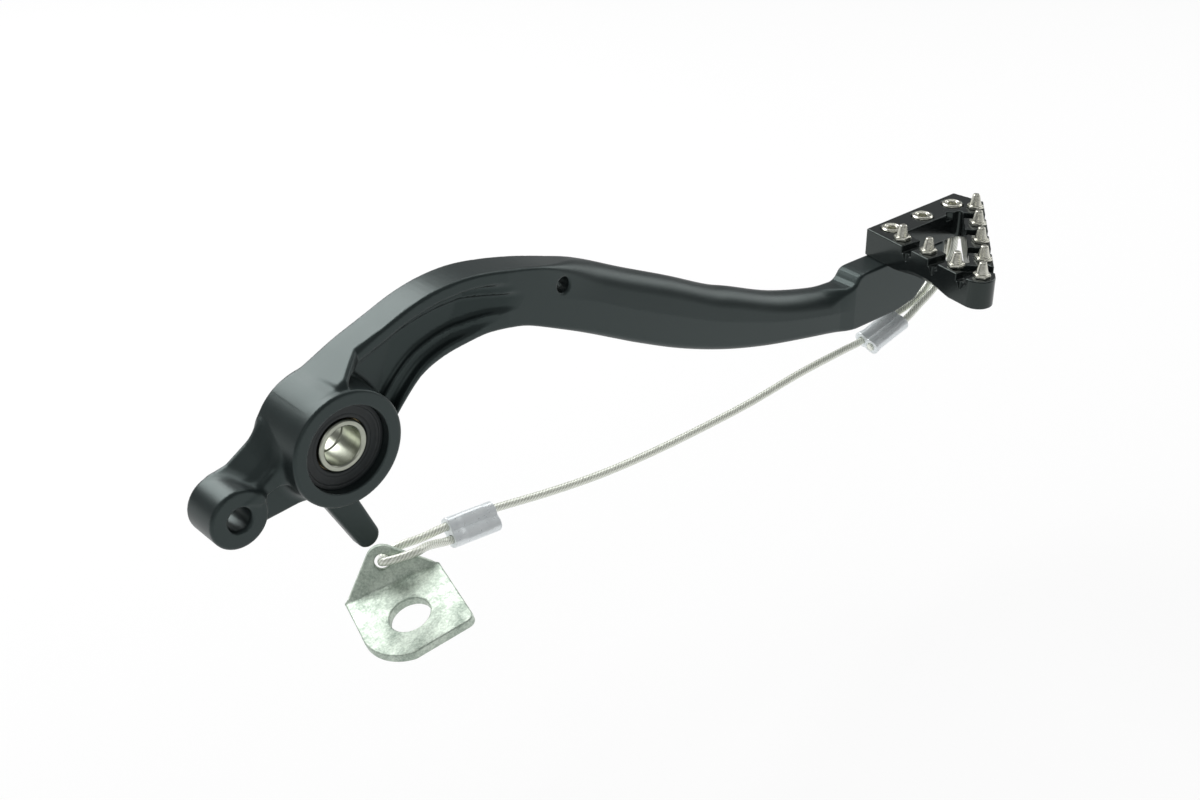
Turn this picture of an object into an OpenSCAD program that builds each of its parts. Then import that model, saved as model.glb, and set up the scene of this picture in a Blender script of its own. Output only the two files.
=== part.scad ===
// Rear brake pedal. X runs forward to the step plate, Y along the pivot away from the rider's foot, Z up.
// The origin is on the pivot axis. All sizes are in millimetres.

/* [Pivot boss] */
// Outside diameter of the pivot boss
boss_d = 32.7; // [28:0.1:38]
// Width of the pivot boss along its axis
boss_w = 19.2; // [17:0.1:24]
// How far the boss's inner face lies beyond the origin
boss_inner_y = 8.4; // [6:0.1:10]
// Diameter of the open recess in the boss's outer face
cup_d = 24.5; // [22:0.1:26]
// Depth of the outer recess, seal included
cup_depth = 5; // [4:0.1:6.5]
// Diameter of the seal pocket in the boss's inner face
rear_cup_d = 22.1; // [20:0.1:25]

/* [Pivot bearing] */
// Outside diameter of the pivot collars
collar_od = 14.5; // [12.2:0.1:16]
// Bore of the pivot collars
collar_id = 11; // [9:0.1:11.6]
// Length of each collar half
collar_half = 9.05; // [8:0.05:11]
// How far the inner collar stands proud of the boss
collar_proud = 1.45; // [0.5:0.05:3]
// Bevel round the collars' ends
collar_bevel = 0.3; // [0.1:0.05:0.6]
// Wall of the bearing bushes
bush_wall = 1.9; // [1:0.1:2.4]
// Space left between the two bushes
bush_split = 0.7; // [0.2:0.1:2]
// Thickness of the dust seals
seal_t = 2.4; // [1.5:0.1:3]
// Height of the lip round each dust seal
seal_lip = 0.5; // [0.3:0.05:0.8]

/* [Fits] */
// Radial running clearance between collar and bush
run_gap = 0.04; // [0.02:0.01:0.1]
// Radial gap between parts that are pressed or screwed together
seat_gap = 0.02; // [0.01:0.01:0.1]
// Radial gap between the soft seals and the collar
seal_gap = 0.3; // [0.3:0.05:0.6]
// Radial gap round the screws' heads
head_gap = 0.3; // [0.1:0.05:0.5]

/* [Rear eye] */
// How far the eye's centre lies behind the pivot
eye_back = 29.8; // [27:0.1:36]
// How far the eye's centre lies below the pivot
eye_drop = 11; // [9:0.1:13.5]
// Outside diameter of the eye
eye_d = 16.6; // [14:0.1:20]
// Bore of the eye
eye_bore = 6.6; // [5:0.1:8]
// Thickness of the eye
eye_w = 12.3; // [10:0.1:15]
// How far the eye's inner face lies beyond the origin
eye_inner_y = 6.5; // [5:0.1:8]
// Bevel round the ends of the eye's bore
eye_bevel = 0.4; // [0.2:0.1:1]
// Thickness of the web that carries the eye
web_t = 8.1; // [6:0.1:9.4]

/* [Arm] */
// Distance from the pivot to the step plate's rear corner
arm_reach = 213.2; // [180:0.1:255]
// Height of the arm's curve, where 1 is the natural height
arm_rise = 1; // [0.8:0.01:1.2]
// How far the arm's outer face lies beyond the origin beside the boss
arm_root_y = 2.8; // [1:0.1:4]
// How far the arm's outer face lies beyond the origin along its run
arm_face_y = 5.9; // [5:0.1:7]
// How far the arm's inner face lies beyond the origin along its run
arm_inner_y = 3.7; // [3:0.1:4.5]
// Thickness of the pocket's upper flange
flange_top = 4; // [3:0.1:5]
// Thickness of the pocket's lower flange
flange_low = 2.6; // [2:0.1:4]
// Depth of the pocket beside the boss
pocket_depth = 4.6; // [3:0.1:6]
// How far the pocket reaches along the arm
pocket_reach = 68; // [55:1:80]
// Diameter of the small hole through the arm
spring_hole_d = 4.4; // [3:0.1:6]
// Distance from the pivot to the small hole
spring_hole_x = 75.5; // [72:0.1:90]
// Depth of the block beneath the step plate
block_h = 19.4; // [17:0.1:24]
// How far the block runs forward beneath the step plate
block_len = 33; // [30:0.1:34.5]

/* [Stop tongue] */
// Width of the stop tongue's rounded end
tongue_w = 7; // [5:0.1:9]
// Thickness of the stop tongue
tongue_t = 4.6; // [3:0.1:6]
// Distance from the pivot to the centre of the tongue's rounded end
tongue_reach = 40.7; // [34:0.1:44]
// Angle of the tongue's end forward of straight down
tongue_turn = 18; // [10:0.5:25]

/* [Step plate] */
// Thickness of the step plate
plate_t = 9.4; // [8:0.1:12]
// Height of the plate's tread below the pivot axis
plate_drop = 5.3; // [2:0.1:9]
// Length of the plate's inner edge
plate_len = 45.4; // [43:0.1:56]
// How far the centre of the plate's outer corner lies from its inner edge
plate_reach = 47.3; // [42:0.1:57]
// Radius of the plate's outer corner
plate_nose = 5; // [4:0.1:6]
// Length of the plate's short front edge
plate_front = 10.7; // [8:0.1:13]
// Width of the bar along the inner edge
bar_inner = 10.2; // [9.2:0.1:12.2]
// Width of the bar along the rear edge
bar_rear = 8; // [7:0.1:9.6]
// Width of the bar along the slanting edge
bar_slant = 7.4; // [6.4:0.1:9]
// Width of the notches in the tread
notch_w = 4.2; // [3:0.1:5]
// Depth of the notches in the tread
notch_depth = 2.4; // [1.5:0.1:4]
// Depth of the V in the plate's side below each notch
nick_depth = 2.2; // [1:0.1:3]

/* [Plate screws] */
// Diameter of the screws' heads
head_d = 7; // [5.8:0.1:8.4]
// Height of the screws' heads
head_h = 4; // [3:0.1:5]
// How far the heads stand above the tread
head_proud = 0.6; // [0:0.1:1.5]
// Key size of the sockets
socket_key = 3; // [2:0.1:4]
// Depth of the sockets
socket_depth = 2; // [1:0.1:2.6]
// Diameter of the screws' shanks
shank_d = 4; // [3:0.1:5]
// Length of the screws' shanks
shank_len = 16; // [12:0.1:20]
// Distance between the screws
screw_pitch = 15.5; // [14:0.1:16]
// Distance from the plate's rear corner to the first screw
screw_first = 6.4; // [5.5:0.1:8]
// Distance from the plate's inner edge to the screws
screw_inset = 5.2; // [4.4:0.1:6]

/* [Grip studs] */
// Key size of the studs' hexagon
stud_key = 5; // [4:0.1:6]
// Height of the studs' hexagon
stud_hex_h = 1.3; // [0.8:0.1:2]
// Height of the studs above the tread
stud_h = 5; // [3:0.1:7]
// Diameter of the studs' cone above the hexagon
stud_root = 4; // [3:0.1:4.8]
// Diameter of the studs' tip
stud_tip = 2.3; // [1.5:0.1:2.9]
// Diameter of the studs' shank
stud_shank = 3; // [2:0.1:3.8]
// Length of the studs' shank
stud_shank_len = 5; // [3:0.1:6]

/* [Safety cable] */
// Diameter of the coated cable
cable_d = 2.5; // [2:0.1:2.9]
// Wall of the ferrules round the cable
ferrule_wall = 1.35; // [1:0.05:2]
// Distance between the two barrels of a ferrule
ferrule_pitch = 4; // [3.4:0.1:4.6]
// Length of the ferrules
ferrule_len = 16.5; // [14:0.1:18]

/* [Anchor bracket] */
// Thickness of the bracket's steel
bracket_t = 2.8; // [2:0.1:3.2]
// Width of the bracket along its bend
foot_w = 28.6; // [25:0.1:34]
// Distance from the bend to the foot's far edge
foot_len = 29.5; // [26:0.1:35]
// Diameter of the bolt hole in the foot
bolt_hole_d = 11.8; // [9:0.1:14]
// Distance from the bend to the bolt hole
bolt_hole_out = 15.2; // [13:0.1:18]
// Distance from the bend to the cable hole in the ear
ear_hole_h = 7.4; // [6.4:0.1:9]
// Diameter of the cable hole in the ear
ear_hole_d = 4.4; // [4:0.1:5.4]
// Radius of the ear's rounded top
ear_r = 4.7; // [4:0.1:5.6]
// Angle by which the ear is bent up from the foot
ear_bend = 60; // [50:1:72]

/* [Hidden] */
$fn = 64;
over = 1;

// Boss and bearing
boss_r = boss_d / 2;
boss_outer_y = boss_inner_y - boss_w;
cup_y = boss_outer_y + cup_depth;
rear_cup_y = boss_inner_y - seal_t - 0.1;
bush_id = collar_od + 2 * run_gap;
bush_od = bush_id + 2 * bush_wall;
bore_d = bush_od + 2 * seat_gap;
bush_len = (rear_cup_y - cup_y - bush_split) / 2;
collar_end_y = boss_inner_y + collar_proud;
seal_id = collar_od + 2 * seal_gap;
lip_w = 1.2;

// Eye, web and tongue
eye_r = eye_d / 2;
eye_at = [-eye_back, -eye_drop];
eye_outer_y = eye_inner_y - eye_w;
web_y = eye_inner_y - 0.3;
tongue_y = boss_inner_y - 0.9;
tongue_end = tongue_reach * [sin(tongue_turn), -cos(tongue_turn)];
// How much wider each side of the tongue is at its root
tongue_flare = 1.2;
// How far the straight sides tuck into the rounded end, so that they cross it cleanly
tongue_tuck = 0.12;
tongue_top = [-0.05 * boss_r, -0.8 * boss_r];

// Step plate and block
tip = arm_reach;
tread_z = -plate_drop;
seat_z = tread_z - plate_t;
block_z = seat_z - block_h;
block_back = 17.7;
block_end = tip + block_len;
block_r = (arm_face_y + arm_inner_y) / 2;

// Side view of the arm as drawn: X along the arm and Z, from the eye forward and then back below.
drawn_end = [195.5, -26.35];
top_pts = [[-21, 6.2], [-14, 11.6], [-1, 17.4], [8, 21.4], [18, 25.6], [27.5, 29.5], [37, 31.8],
    [47.5, 32.2], [61.5, 30], [75.5, 26.4], [86.5, 22.9], [103, 15.1], [121, 6.9], [137, -0.9],
    [147, -4.8], [165.5, -12.2], [184.5, -17.3], [195.5, -18.8]];
low_pts = [[195.5, -33.9], [175.5, -30.3], [156.5, -26.4], [138.5, -21.4], [121, -15], [105, -7.8],
    [94.5, -2.6], [81.5, 3.9], [65.5, 11.2], [58, 13.4], [50.5, 14.2], [44.5, 13.6], [35.5, 11.6],
    [28.5, 8], [22, 1], [18, -4.7]];

// The drawn heights follow the arm's rise, reach and end height.
reach_scale = (tip - block_back) / drawn_end[0];
end_fall = (seat_z + block_z) / 2 - 1.9 - drawn_end[1];
function line_z(x) = x > 0 ? x * drawn_end[1] / drawn_end[0] : 0;
function lift(x) = x > 0 ? x / drawn_end[0] * end_fall : 0;
function placed(p) = [for (q = p) [q[0] > 0 ? q[0] * reach_scale : q[0],
    line_z(q[0]) + (q[1] - line_z(q[0])) * arm_rise + lift(q[0])]];

// Points of a smooth curve through a list of stations, n between each pair.
function curve(a, b, c, d, t) = 0.5 * (2 * b + (c - a) * t + (2 * a - 5 * b + 4 * c - d) * t * t
    + (3 * b - a - 3 * c + d) * t * t * t);
function pick(p, i) = p[max(0, min(len(p) - 1, i))];
function step(p, i, t) = curve(pick(p, i - 1), pick(p, i), pick(p, i + 1), pick(p, i + 2), t);
function smooth(p, n) = concat([for (i = [0:len(p) - 2], k = [0:n - 1]) step(p, i, k / n)],
    [p[len(p) - 1]]);
function raised(p, d) = [for (q = p) [q[0], q[1] + d]];
function within(p, a, b) = [for (q = p) if (q[0] > a && q[0] < b) q];
function height(p, x) = lookup(x, [for (q = p) q]);
top_line = smooth(placed(top_pts), 2);
low_line = smooth(placed(low_pts), 2);
spring_hole_z = (height(top_line, spring_hole_x) + height(low_line, spring_hole_x)) / 2 + 4;

// Plan of the step plate: its inner rear corner, its front corners and its rounded outer corner.
rear_corner = [tip, arm_inner_y];
front_corner = [tip + plate_len, arm_inner_y + 0.7];
slant_corner = [tip + plate_len + 1.8, arm_inner_y - plate_front];
nose_at = [tip - 1.1, arm_inner_y - plate_reach];
function angle(v) = atan2(v[1], v[0]);
function aim(a) = [cos(a), sin(a)];
function right_of(a) = [sin(a), -cos(a)];
rear_ang = angle(nose_at - rear_corner) - asin(plate_nose / norm(nose_at - rear_corner));
slant_ang = angle(slant_corner - nose_at) + asin(plate_nose / norm(slant_corner - nose_at));
nose_rear = nose_at + plate_nose * right_of(rear_ang);
nose_slant = nose_at + plate_nose * right_of(slant_ang);
rear_len = norm(nose_rear - rear_corner);
slant_len = norm(slant_corner - nose_slant);

// Points a distance s along the rear or the slanting edge and a distance in from it.
function on_rear(s, in) = rear_corner + s * aim(rear_ang) - in * right_of(rear_ang);
function on_slant(s, in) = nose_slant + s * aim(slant_ang) - in * right_of(slant_ang);
function meet(p, d, q, e) = p + d * (((q[0] - p[0]) * e[1] - (q[1] - p[1]) * e[0])
    / (d[0] * e[1] - d[1] * e[0]));
win_y = arm_inner_y - bar_inner;
win_rear = meet(on_rear(0, bar_rear), aim(rear_ang), [0, win_y], [1, 0]);
win_front = meet(on_slant(0, bar_slant), aim(slant_ang), [0, win_y], [1, 0]);
win_nose = meet(on_rear(0, bar_rear), aim(rear_ang), on_slant(0, bar_slant), aim(slant_ang));
win_r = 1.2;
nick_tip = 0.6;
stud_in_rear = bar_rear / 2;
stud_in_slant = bar_slant * 0.42;
stud_at = concat([for (s = [0.27, 0.53, 0.8]) on_rear(rear_len * s, stud_in_rear)],
    [nose_at + [0, -0.8]],
    [for (s = [0.2, 0.44, 0.67, 0.9]) on_slant(slant_len * s, stud_in_slant)]);
rear_notches = [0.405, 0.665, 0.935];
slant_notches = [0.085, 0.32, 0.555, 0.785];
screw_y = arm_inner_y - screw_inset;
function screw_x(i) = tip + screw_first + i * screw_pitch;
seat_depth = head_h - head_proud;
shank_top_z = tread_z - seat_depth;

// Direction of each ferrule's axis and of the line between its barrels, and its rear end.
upper_end = [209.7, -2.8, -44.3];
upper_dir = [0.967, 0, 0.255];
upper_side = [0.066, -0.966, -0.25];
lower_end = [39.6, 3.8, -49.8];
lower_dir = [0.998, 0, -0.066];
lower_side = [-0.05, -0.66, -0.749];
barrel_r = cable_d / 2 + ferrule_wall;
half = ferrule_pitch / 2;

// Route of the cable: from its dead end through the upper ferrule, round the front screw and back, down
// the run to the lower ferrule, through the bracket's ear and back to the other dead end.
hook_at = [250.6, -1.5, -16.2];
hook_r = 3.45;
ear_at = [17.2, 4.7, -49.7];
run_pts = [[198.5, -1.6, -43.9], [179, -1.4, -45.3], [156.6, -0.9, -48.3], [135.3, 0, -50.3],
    [115, 1.1, -51.7], [95.3, 1.9, -51.8], [76.3, 3.4, -51]];
ear_pts = [[31.3, 5.5, -48.6], [25, 7, -49.2], [20.6, 8, -50.4], [18.4, 6.6, -50.8], ear_at,
    [16.2, 3, -48.7], [17.3, 0.8, -47.6], [20.5, -0.8, -47], [24.7, -1.8, -46.6], [28.7, -0.5, -47.4],
    [33.5, 1.3, -49.4]];
hook_pts = [for (a = [-105:30:105]) hook_at + hook_r * [cos(a), sin(a), 0]];
function in_upper(s, k) = upper_end + upper_dir * s + upper_side * half * k;
function in_lower(s, k) = lower_end + lower_dir * s + lower_side * half * k;
route = concat(
    [in_upper(-0.6, 1), in_upper(ferrule_len / 2, 1), in_upper(ferrule_len + 1, 1)],
    [[234.5, -4.3, -37], [242, -4.2, -33], [247.6, -4.6, -26], [249.4, -4.9, -20]],
    hook_pts,
    [[249.4, 1.9, -20], [248, 1.2, -26], [242.4, -0.8, -33], [234.5, -1.3, -37]],
    [in_upper(ferrule_len + 1, -1), in_upper(ferrule_len / 2, -1), in_upper(-1, -1)],
    run_pts,
    [in_lower(ferrule_len + 1, -1), in_lower(ferrule_len / 2, -1), in_lower(-1, -1)],
    ear_pts,
    [in_lower(-1, 1), in_lower(ferrule_len / 2, 1), in_lower(ferrule_len + 0.6, 1)]);

// Rings along the route, no further apart than ring_gap, each carried on from the one before.
ring_gap = 7;
cable_sides = 8;
function unit(v) = v / norm(v);
function ring_count(p, i) = ceil(norm(p[i + 1] - p[i]) / ring_gap);
function spaced(p) = concat([for (i = [0:len(p) - 2]) let (n = ring_count(p, i))
    for (k = [0:n - 1]) step(p, i, k / n)], [p[len(p) - 1]]);
function carried(t, i, u) = i == len(t) ? [] :
    let (v = unit(u - (u * t[i]) * t[i])) concat([v], carried(t, i + 1, v));

// A cylinder along Y between two places.
module y_cyl(d, y0, y1) {
    translate([0, y1, 0]) rotate([90, 0, 0]) cylinder(d = d, h = y1 - y0);
}

// A cone along Y, d0 across at y0 and d1 across at y1.
module y_cone(d0, d1, y0, y1) {
    translate([0, y1, 0]) rotate([90, 0, 0]) cylinder(d1 = d1, d2 = d0, h = y1 - y0);
}

// A side view in X and Z given thickness along Y.
module y_prism(y0, y1) {
    translate([0, y1, 0]) rotate([90, 0, 0]) linear_extrude(height = y1 - y0) children();
}

// The arm and the block at its end, before the pocket is cut.
module arm_blank() {
    block_side = [[tip - 14.7, seat_z - 1.2], [tip - 12.2, seat_z], [block_end + over, seat_z],
        [block_end + over, seat_z - 5.2], [tip + 20.8, block_z + 6.2], [tip + 15.8, block_z + 1.7],
        [tip + 7.3, block_z], [tip - 13.2, block_z - 0.2]];
    inside_boss = [[0, -6], [-0.85 * boss_r, -2]];
    low_plan = [[-30, -arm_root_y], [10, -arm_root_y], [28 * reach_scale, -arm_root_y - 0.9],
        [56 * reach_scale, -arm_face_y], [block_end - block_r, -arm_face_y]];
    high_plan = [[block_end - block_r, arm_inner_y], [86 * reach_scale, arm_inner_y],
        [56 * reach_scale, arm_inner_y + 1.9], [25 * reach_scale, boss_inner_y - 1.1],
        [10, boss_inner_y - 0.4], [-30, boss_inner_y - 0.4]];
    intersection() {
        y_prism(boss_outer_y, boss_inner_y)
            polygon(concat(top_line, block_side, low_line, inside_boss));
        union() {
            translate([0, 0, -100]) linear_extrude(height = 200) polygon(concat(low_plan, high_plan));
            translate([block_end - block_r, arm_inner_y - block_r, -100])
                cylinder(r = block_r, h = 200);
        }
    }
}

// The pocket in the arm's outer face: deepest beside the boss and fading out along the arm.
module pocket() {
    far = pocket_reach * reach_scale;
    side = concat(within(raised(top_line, -flange_top), 5, far - 2),
        within(raised(low_line, flange_low), 0, far - 2));
    floor_y = pocket_depth - arm_root_y;
    plan = [[0, -boss_w], [0, floor_y], [18, floor_y], [far * 0.6, floor_y - 2.4], [far, -arm_face_y],
        [far, -boss_w]];
    intersection() {
        y_prism(-boss_w, boss_inner_y) polygon(side);
        translate([0, 0, -100]) linear_extrude(height = 200) polygon(plan);
    }
}

// The web between boss and eye.
module web() {
    y_prism(web_y - web_t, web_y)
        polygon([eye_at + [0, -0.9 * eye_r], eye_at + [-0.4 * eye_r, 0],
            eye_at + [-0.1 * eye_r, 0.9 * eye_r], eye_at + [3.8, eye_r + 3.3],
            [-0.92 * boss_r, 0.6 * boss_r], [0, 0.5 * boss_r], [0, -0.93 * boss_r]]);
}

// The stop tongue: a flat finger with a rounded end.
module tongue() {
    run = tongue_end - tongue_top;
    side = [run[1], -run[0]] / norm(run);
    root_half = tongue_w / 2 + tongue_flare;
    end_half = tongue_w / 2 - tongue_tuck;
    y_prism(tongue_y - tongue_t, tongue_y)
        polygon([tongue_top + side * root_half, tongue_end + side * end_half,
            tongue_end - side * end_half, tongue_top - side * root_half]);
    translate([tongue_end[0], 0, tongue_end[1]]) y_cyl(tongue_w, tongue_y - tongue_t, tongue_y);
}

module pedal_arm() {
    color([0.16, 0.18, 0.18])
    difference() {
        union() {
            difference() {
                arm_blank();
                pocket();
            }
            y_cyl(boss_d, boss_outer_y, boss_inner_y);
            translate([eye_at[0], 0, eye_at[1]]) y_cyl(eye_d, eye_outer_y, eye_inner_y);
            web();
            tongue();
        }
        y_cyl(cup_d, boss_outer_y - over, cup_y);
        y_cyl(bore_d, cup_y - over, rear_cup_y + over);
        y_cyl(rear_cup_d, rear_cup_y, boss_inner_y + over);
        translate([eye_at[0], 0, eye_at[1]]) {
            y_cyl(eye_bore, eye_outer_y - over, eye_inner_y + over);
            y_cone(eye_bore + 2 * eye_bevel, eye_bore, eye_outer_y, eye_outer_y + eye_bevel);
            y_cone(eye_bore, eye_bore + 2 * eye_bevel, eye_inner_y - eye_bevel, eye_inner_y);
        }
        translate([spring_hole_x, 0, spring_hole_z])
            y_cyl(spring_hole_d, -arm_face_y - over, boss_inner_y);
        for (i = [0, 1])
            translate([screw_x(i), screw_y, shank_top_z - shank_len - 0.5])
                cylinder(d = shank_d + 2 * seat_gap, h = shank_len);
    }
}

// One half of the pivot collar, with bevelled ends.
module collar(y0) {
    y1 = y0 + collar_half;
    color([0.7, 0.72, 0.66])
    difference() {
        union() {
            y_cone(collar_od - 2 * collar_bevel, collar_od, y0, y0 + collar_bevel);
            y_cyl(collar_od, y0 + collar_bevel, y1 - collar_bevel);
            y_cone(collar_od, collar_od - 2 * collar_bevel, y1 - collar_bevel, y1);
        }
        y_cyl(collar_id, y0 - over, y1 + over);
    }
}
module pivot_collar_outer() {
    collar(collar_end_y - 2 * collar_half);
}
module pivot_collar_inner() {
    collar(collar_end_y - collar_half);
}

// One bearing bush.
module bush(y0) {
    color([0.5, 0.45, 0.35])
    difference() {
        y_cyl(bush_od, y0, y0 + bush_len);
        y_cyl(bush_id, y0 - over, y0 + bush_len + over);
    }
}
module bearing_bush_outer() {
    bush(cup_y);
}
module bearing_bush_inner() {
    bush(rear_cup_y - bush_len);
}

// A dust seal lying in a recess of diameter d, its lip on the side that faces out.
module seal(d, y0, lip_y) {
    outer = d - 2 * seat_gap;
    color([0.1, 0.11, 0.11])
    difference() {
        y_cyl(outer, y0, y0 + seal_t);
        y_cyl(seal_id, y0 - over, y0 + seal_t + over);
        y_cyl(outer - 2 * lip_w, lip_y, lip_y + seal_lip);
    }
}
module dust_seal_outer() {
    seal(cup_d, cup_y - seal_t, cup_y - seal_t);
}
module dust_seal_inner() {
    seal(rear_cup_d, rear_cup_y, rear_cup_y + seal_t - seal_lip);
}

// The triangular window, its corners rounded to radius win_r.
module window() {
    corners = [win_rear, win_nose, win_front];
    mid = (win_rear + win_nose + win_front) / 3;
    translate([0, 0, seat_z - over]) linear_extrude(height = plate_t + 2 * over)
        polygon([for (i = [0:2]) let (
            c = corners[i],
            a = unit(corners[(i + 2) % 3] - c),
            b = unit(corners[(i + 1) % 3] - c),
            open = acos(a * b),
            c0 = c + unit(a + b) * (win_r / sin(open / 2)),
            turn = 180 - open,
            start = angle(-unit(a + b)) - turn / 2)
            for (k = [0:4]) c0 + win_r * aim(start + turn * k / 4)]);
}

// A notch across a bar's tread, centred on a point of its edge, with a V in the side below it.
module notch(p, a, w) {
    translate([p[0], p[1], tread_z - notch_depth]) rotate([0, 0, a])
        translate([-notch_w / 2, -2, 0]) cube([notch_w, w + 2 + over, notch_depth + over]);
    translate([p[0], p[1], tread_z - notch_depth - nick_depth])
        cylinder(d1 = nick_tip, d2 = notch_w * 0.8, h = nick_depth + over / 2);
}

module step_plate() {
    color([0.1, 0.11, 0.12])
    difference() {
        union() {
            translate([0, 0, seat_z]) linear_extrude(height = plate_t)
                polygon([rear_corner, nose_rear, nose_at, nose_slant, slant_corner, front_corner]);
            translate([nose_at[0], nose_at[1], seat_z]) cylinder(r = plate_nose, h = plate_t);
        }
        window();
        for (s = rear_notches) notch(on_rear(s * rear_len, 0), rear_ang, bar_rear);
        for (s = slant_notches) notch(on_slant(s * slant_len, 0), slant_ang, bar_slant);
        for (i = [0:2]) translate([screw_x(i), screw_y, 0]) {
            translate([0, 0, shank_top_z]) cylinder(d = head_d + 2 * head_gap, h = head_h + over);
            translate([0, 0, seat_z - over]) cylinder(d = shank_d + 2 * seat_gap, h = plate_t);
        }
        for (p = stud_at) translate([p[0], p[1], tread_z - stud_shank_len - 0.3])
            cylinder(d = stud_shank + 2 * seat_gap, h = stud_shank_len + over);
    }
}

// A socket head screw whose head sits in the plate.
module plate_screw(i) {
    color([0.75, 0.75, 0.7])
    translate([screw_x(i), screw_y, shank_top_z])
    difference() {
        union() {
            cylinder(d = head_d, h = head_h);
            translate([0, 0, -shank_len]) cylinder(d = shank_d, h = shank_len);
        }
        translate([0, 0, head_h - socket_depth])
            cylinder(d = socket_key / cos(30), h = socket_depth + over, $fn = 6);
    }
}
module plate_screw_rear() {
    plate_screw(0);
}
module plate_screw_middle() {
    plate_screw(1);
}
module plate_screw_front() {
    plate_screw(2);
}

// A pointed grip stud: a shank in the plate, a hexagon on the tread and a cone.
module grip_stud(i) {
    color([0.75, 0.76, 0.7])
    translate([stud_at[i][0], stud_at[i][1], tread_z]) {
        translate([0, 0, -stud_shank_len]) cylinder(d = stud_shank, h = stud_shank_len);
        cylinder(d = stud_key / cos(30), h = stud_hex_h, $fn = 6);
        translate([0, 0, stud_hex_h])
            cylinder(d1 = stud_root, d2 = stud_tip, h = stud_h - stud_hex_h);
    }
}

module safety_cable() {
    pts = spaced(route);
    n = len(pts);
    tangents = [for (i = [0:n - 1]) unit(pick(pts, i + 1) - pick(pts, i - 1))];
    sides = carried(tangents, 0, [0, 1, 0]);
    rings = [for (i = [0:n - 1], k = [0:cable_sides - 1]) let (a = 360 * k / cable_sides)
        pts[i] + cable_d / 2 * (cos(a) * sides[i] + sin(a) * cross(tangents[i], sides[i]))];
    m = cable_sides;
    walls = [for (i = [0:n - 2], k = [0:m - 1]) let (a = i * m + k, b = i * m + (k + 1) % m)
        for (f = [[a, a + m, b], [b, a + m, b + m]]) f];
    caps = [for (k = [1:m - 2]) for (f = [[0, k, k + 1], [n * m - m, n * m - m + k + 1, n * m - m + k]]) f];
    color([0.8, 0.84, 0.8])
    polyhedron(points = rings, faces = concat(walls, caps));
}

// A ferrule of two joined barrels, laid along a direction with its barrels apart along another.
module ferrule(end, dir, side) {
    bore = cable_d + 2 * seat_gap;
    turn = angle(dir);
    tilt = acos(dir[2]);
    flat = [-sin(turn), cos(turn), 0];
    roll = atan2(-side * cross(unit(dir), flat), side * flat);
    color([0.8, 0.82, 0.82])
    translate(end) rotate([0, tilt, turn]) rotate([0, 0, -roll])
    difference() {
        union() {
            for (k = [-1, 1]) translate([0, k * half, 0]) cylinder(r = barrel_r, h = ferrule_len);
            translate([-barrel_r * 0.72, -half, 0])
                cube([barrel_r * 1.44, ferrule_pitch, ferrule_len]);
        }
        for (k = [-1, 1]) translate([0, k * half, -over]) cylinder(d = bore, h = ferrule_len + 2 * over);
    }
}
module cable_ferrule_upper() {
    ferrule(upper_end, upper_dir, upper_side);
}
module cable_ferrule_lower() {
    ferrule(lower_end, lower_dir, lower_side);
}

// Sheet bracket: a foot with a bolt hole and an ear, bent up from it, with a hole for the cable. Its
// place and turn are set by the cable's hole in the ear.
module anchor_bracket() {
    hole_a = foot_w / 2;
    foot_r = foot_len - bolt_hole_out;
    bolt_at = [foot_w / 2 + 1.7, -bolt_hole_out];
    ear_hole = [hole_a, ear_hole_h];
    reach = norm(ear_hole);
    open = acos(ear_r / reach);
    lean = angle([hole_a, -ear_hole_h]);
    left = ear_hole + ear_r * aim(180 - lean - open);
    right = ear_hole + ear_r * aim(lean + open);
    corner = [foot_w + 0.9, -foot_len + 5.2];
    foot = concat([[0, 0]], [for (a = [180:10:260]) bolt_at + foot_r * aim(a)],
        [for (a = [-80:18:10]) corner + 2.4 * aim(a)], [[foot_w, -1]], [[foot_w, 0]]);
    color([0.68, 0.72, 0.66])
    translate(ear_at) rotate([7, -18, -24.5])
    translate([-hole_a, -ear_hole_h * cos(ear_bend), -ear_hole_h * sin(ear_bend)])
    difference() {
        union() {
            translate([0, 0, -bracket_t / 2]) linear_extrude(height = bracket_t) polygon(foot);
            rotate([0, 90, 0]) cylinder(d = bracket_t, h = foot_w);
            rotate([ear_bend, 0, 0]) translate([0, 0, -bracket_t / 2]) {
                linear_extrude(height = bracket_t) polygon([[0, 0], [foot_w, 0], right, left]);
                translate([ear_hole[0], ear_hole[1], 0]) cylinder(r = ear_r, h = bracket_t);
            }
        }
        translate([bolt_at[0], bolt_at[1], -bracket_t]) cylinder(d = bolt_hole_d, h = 2 * bracket_t);
        rotate([ear_bend, 0, 0]) translate([ear_hole[0], ear_hole[1], -bracket_t])
            cylinder(d = ear_hole_d, h = 2 * bracket_t);
    }
}

pedal_arm();
pivot_collar_outer();
pivot_collar_inner();
bearing_bush_outer();
bearing_bush_inner();
dust_seal_outer();
dust_seal_inner();
step_plate();
plate_screw_rear();
plate_screw_middle();
plate_screw_front();
grip_stud(0);  // grip_stud_1
grip_stud(1);  // grip_stud_2
grip_stud(2);  // grip_stud_3
grip_stud(3);  // grip_stud_4
grip_stud(4);  // grip_stud_5
grip_stud(5);  // grip_stud_6
grip_stud(6);  // grip_stud_7
grip_stud(7);  // grip_stud_8
safety_cable();
cable_ferrule_upper();
cable_ferrule_lower();
anchor_bracket();
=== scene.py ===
"""Looks of a motorbike's rear brake pedal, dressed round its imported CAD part. Shapes are worked out in millimetres."""

import logging
import math
from collections.abc import Callable, Sequence
from dataclasses import dataclass, field
from enum import Enum

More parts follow.
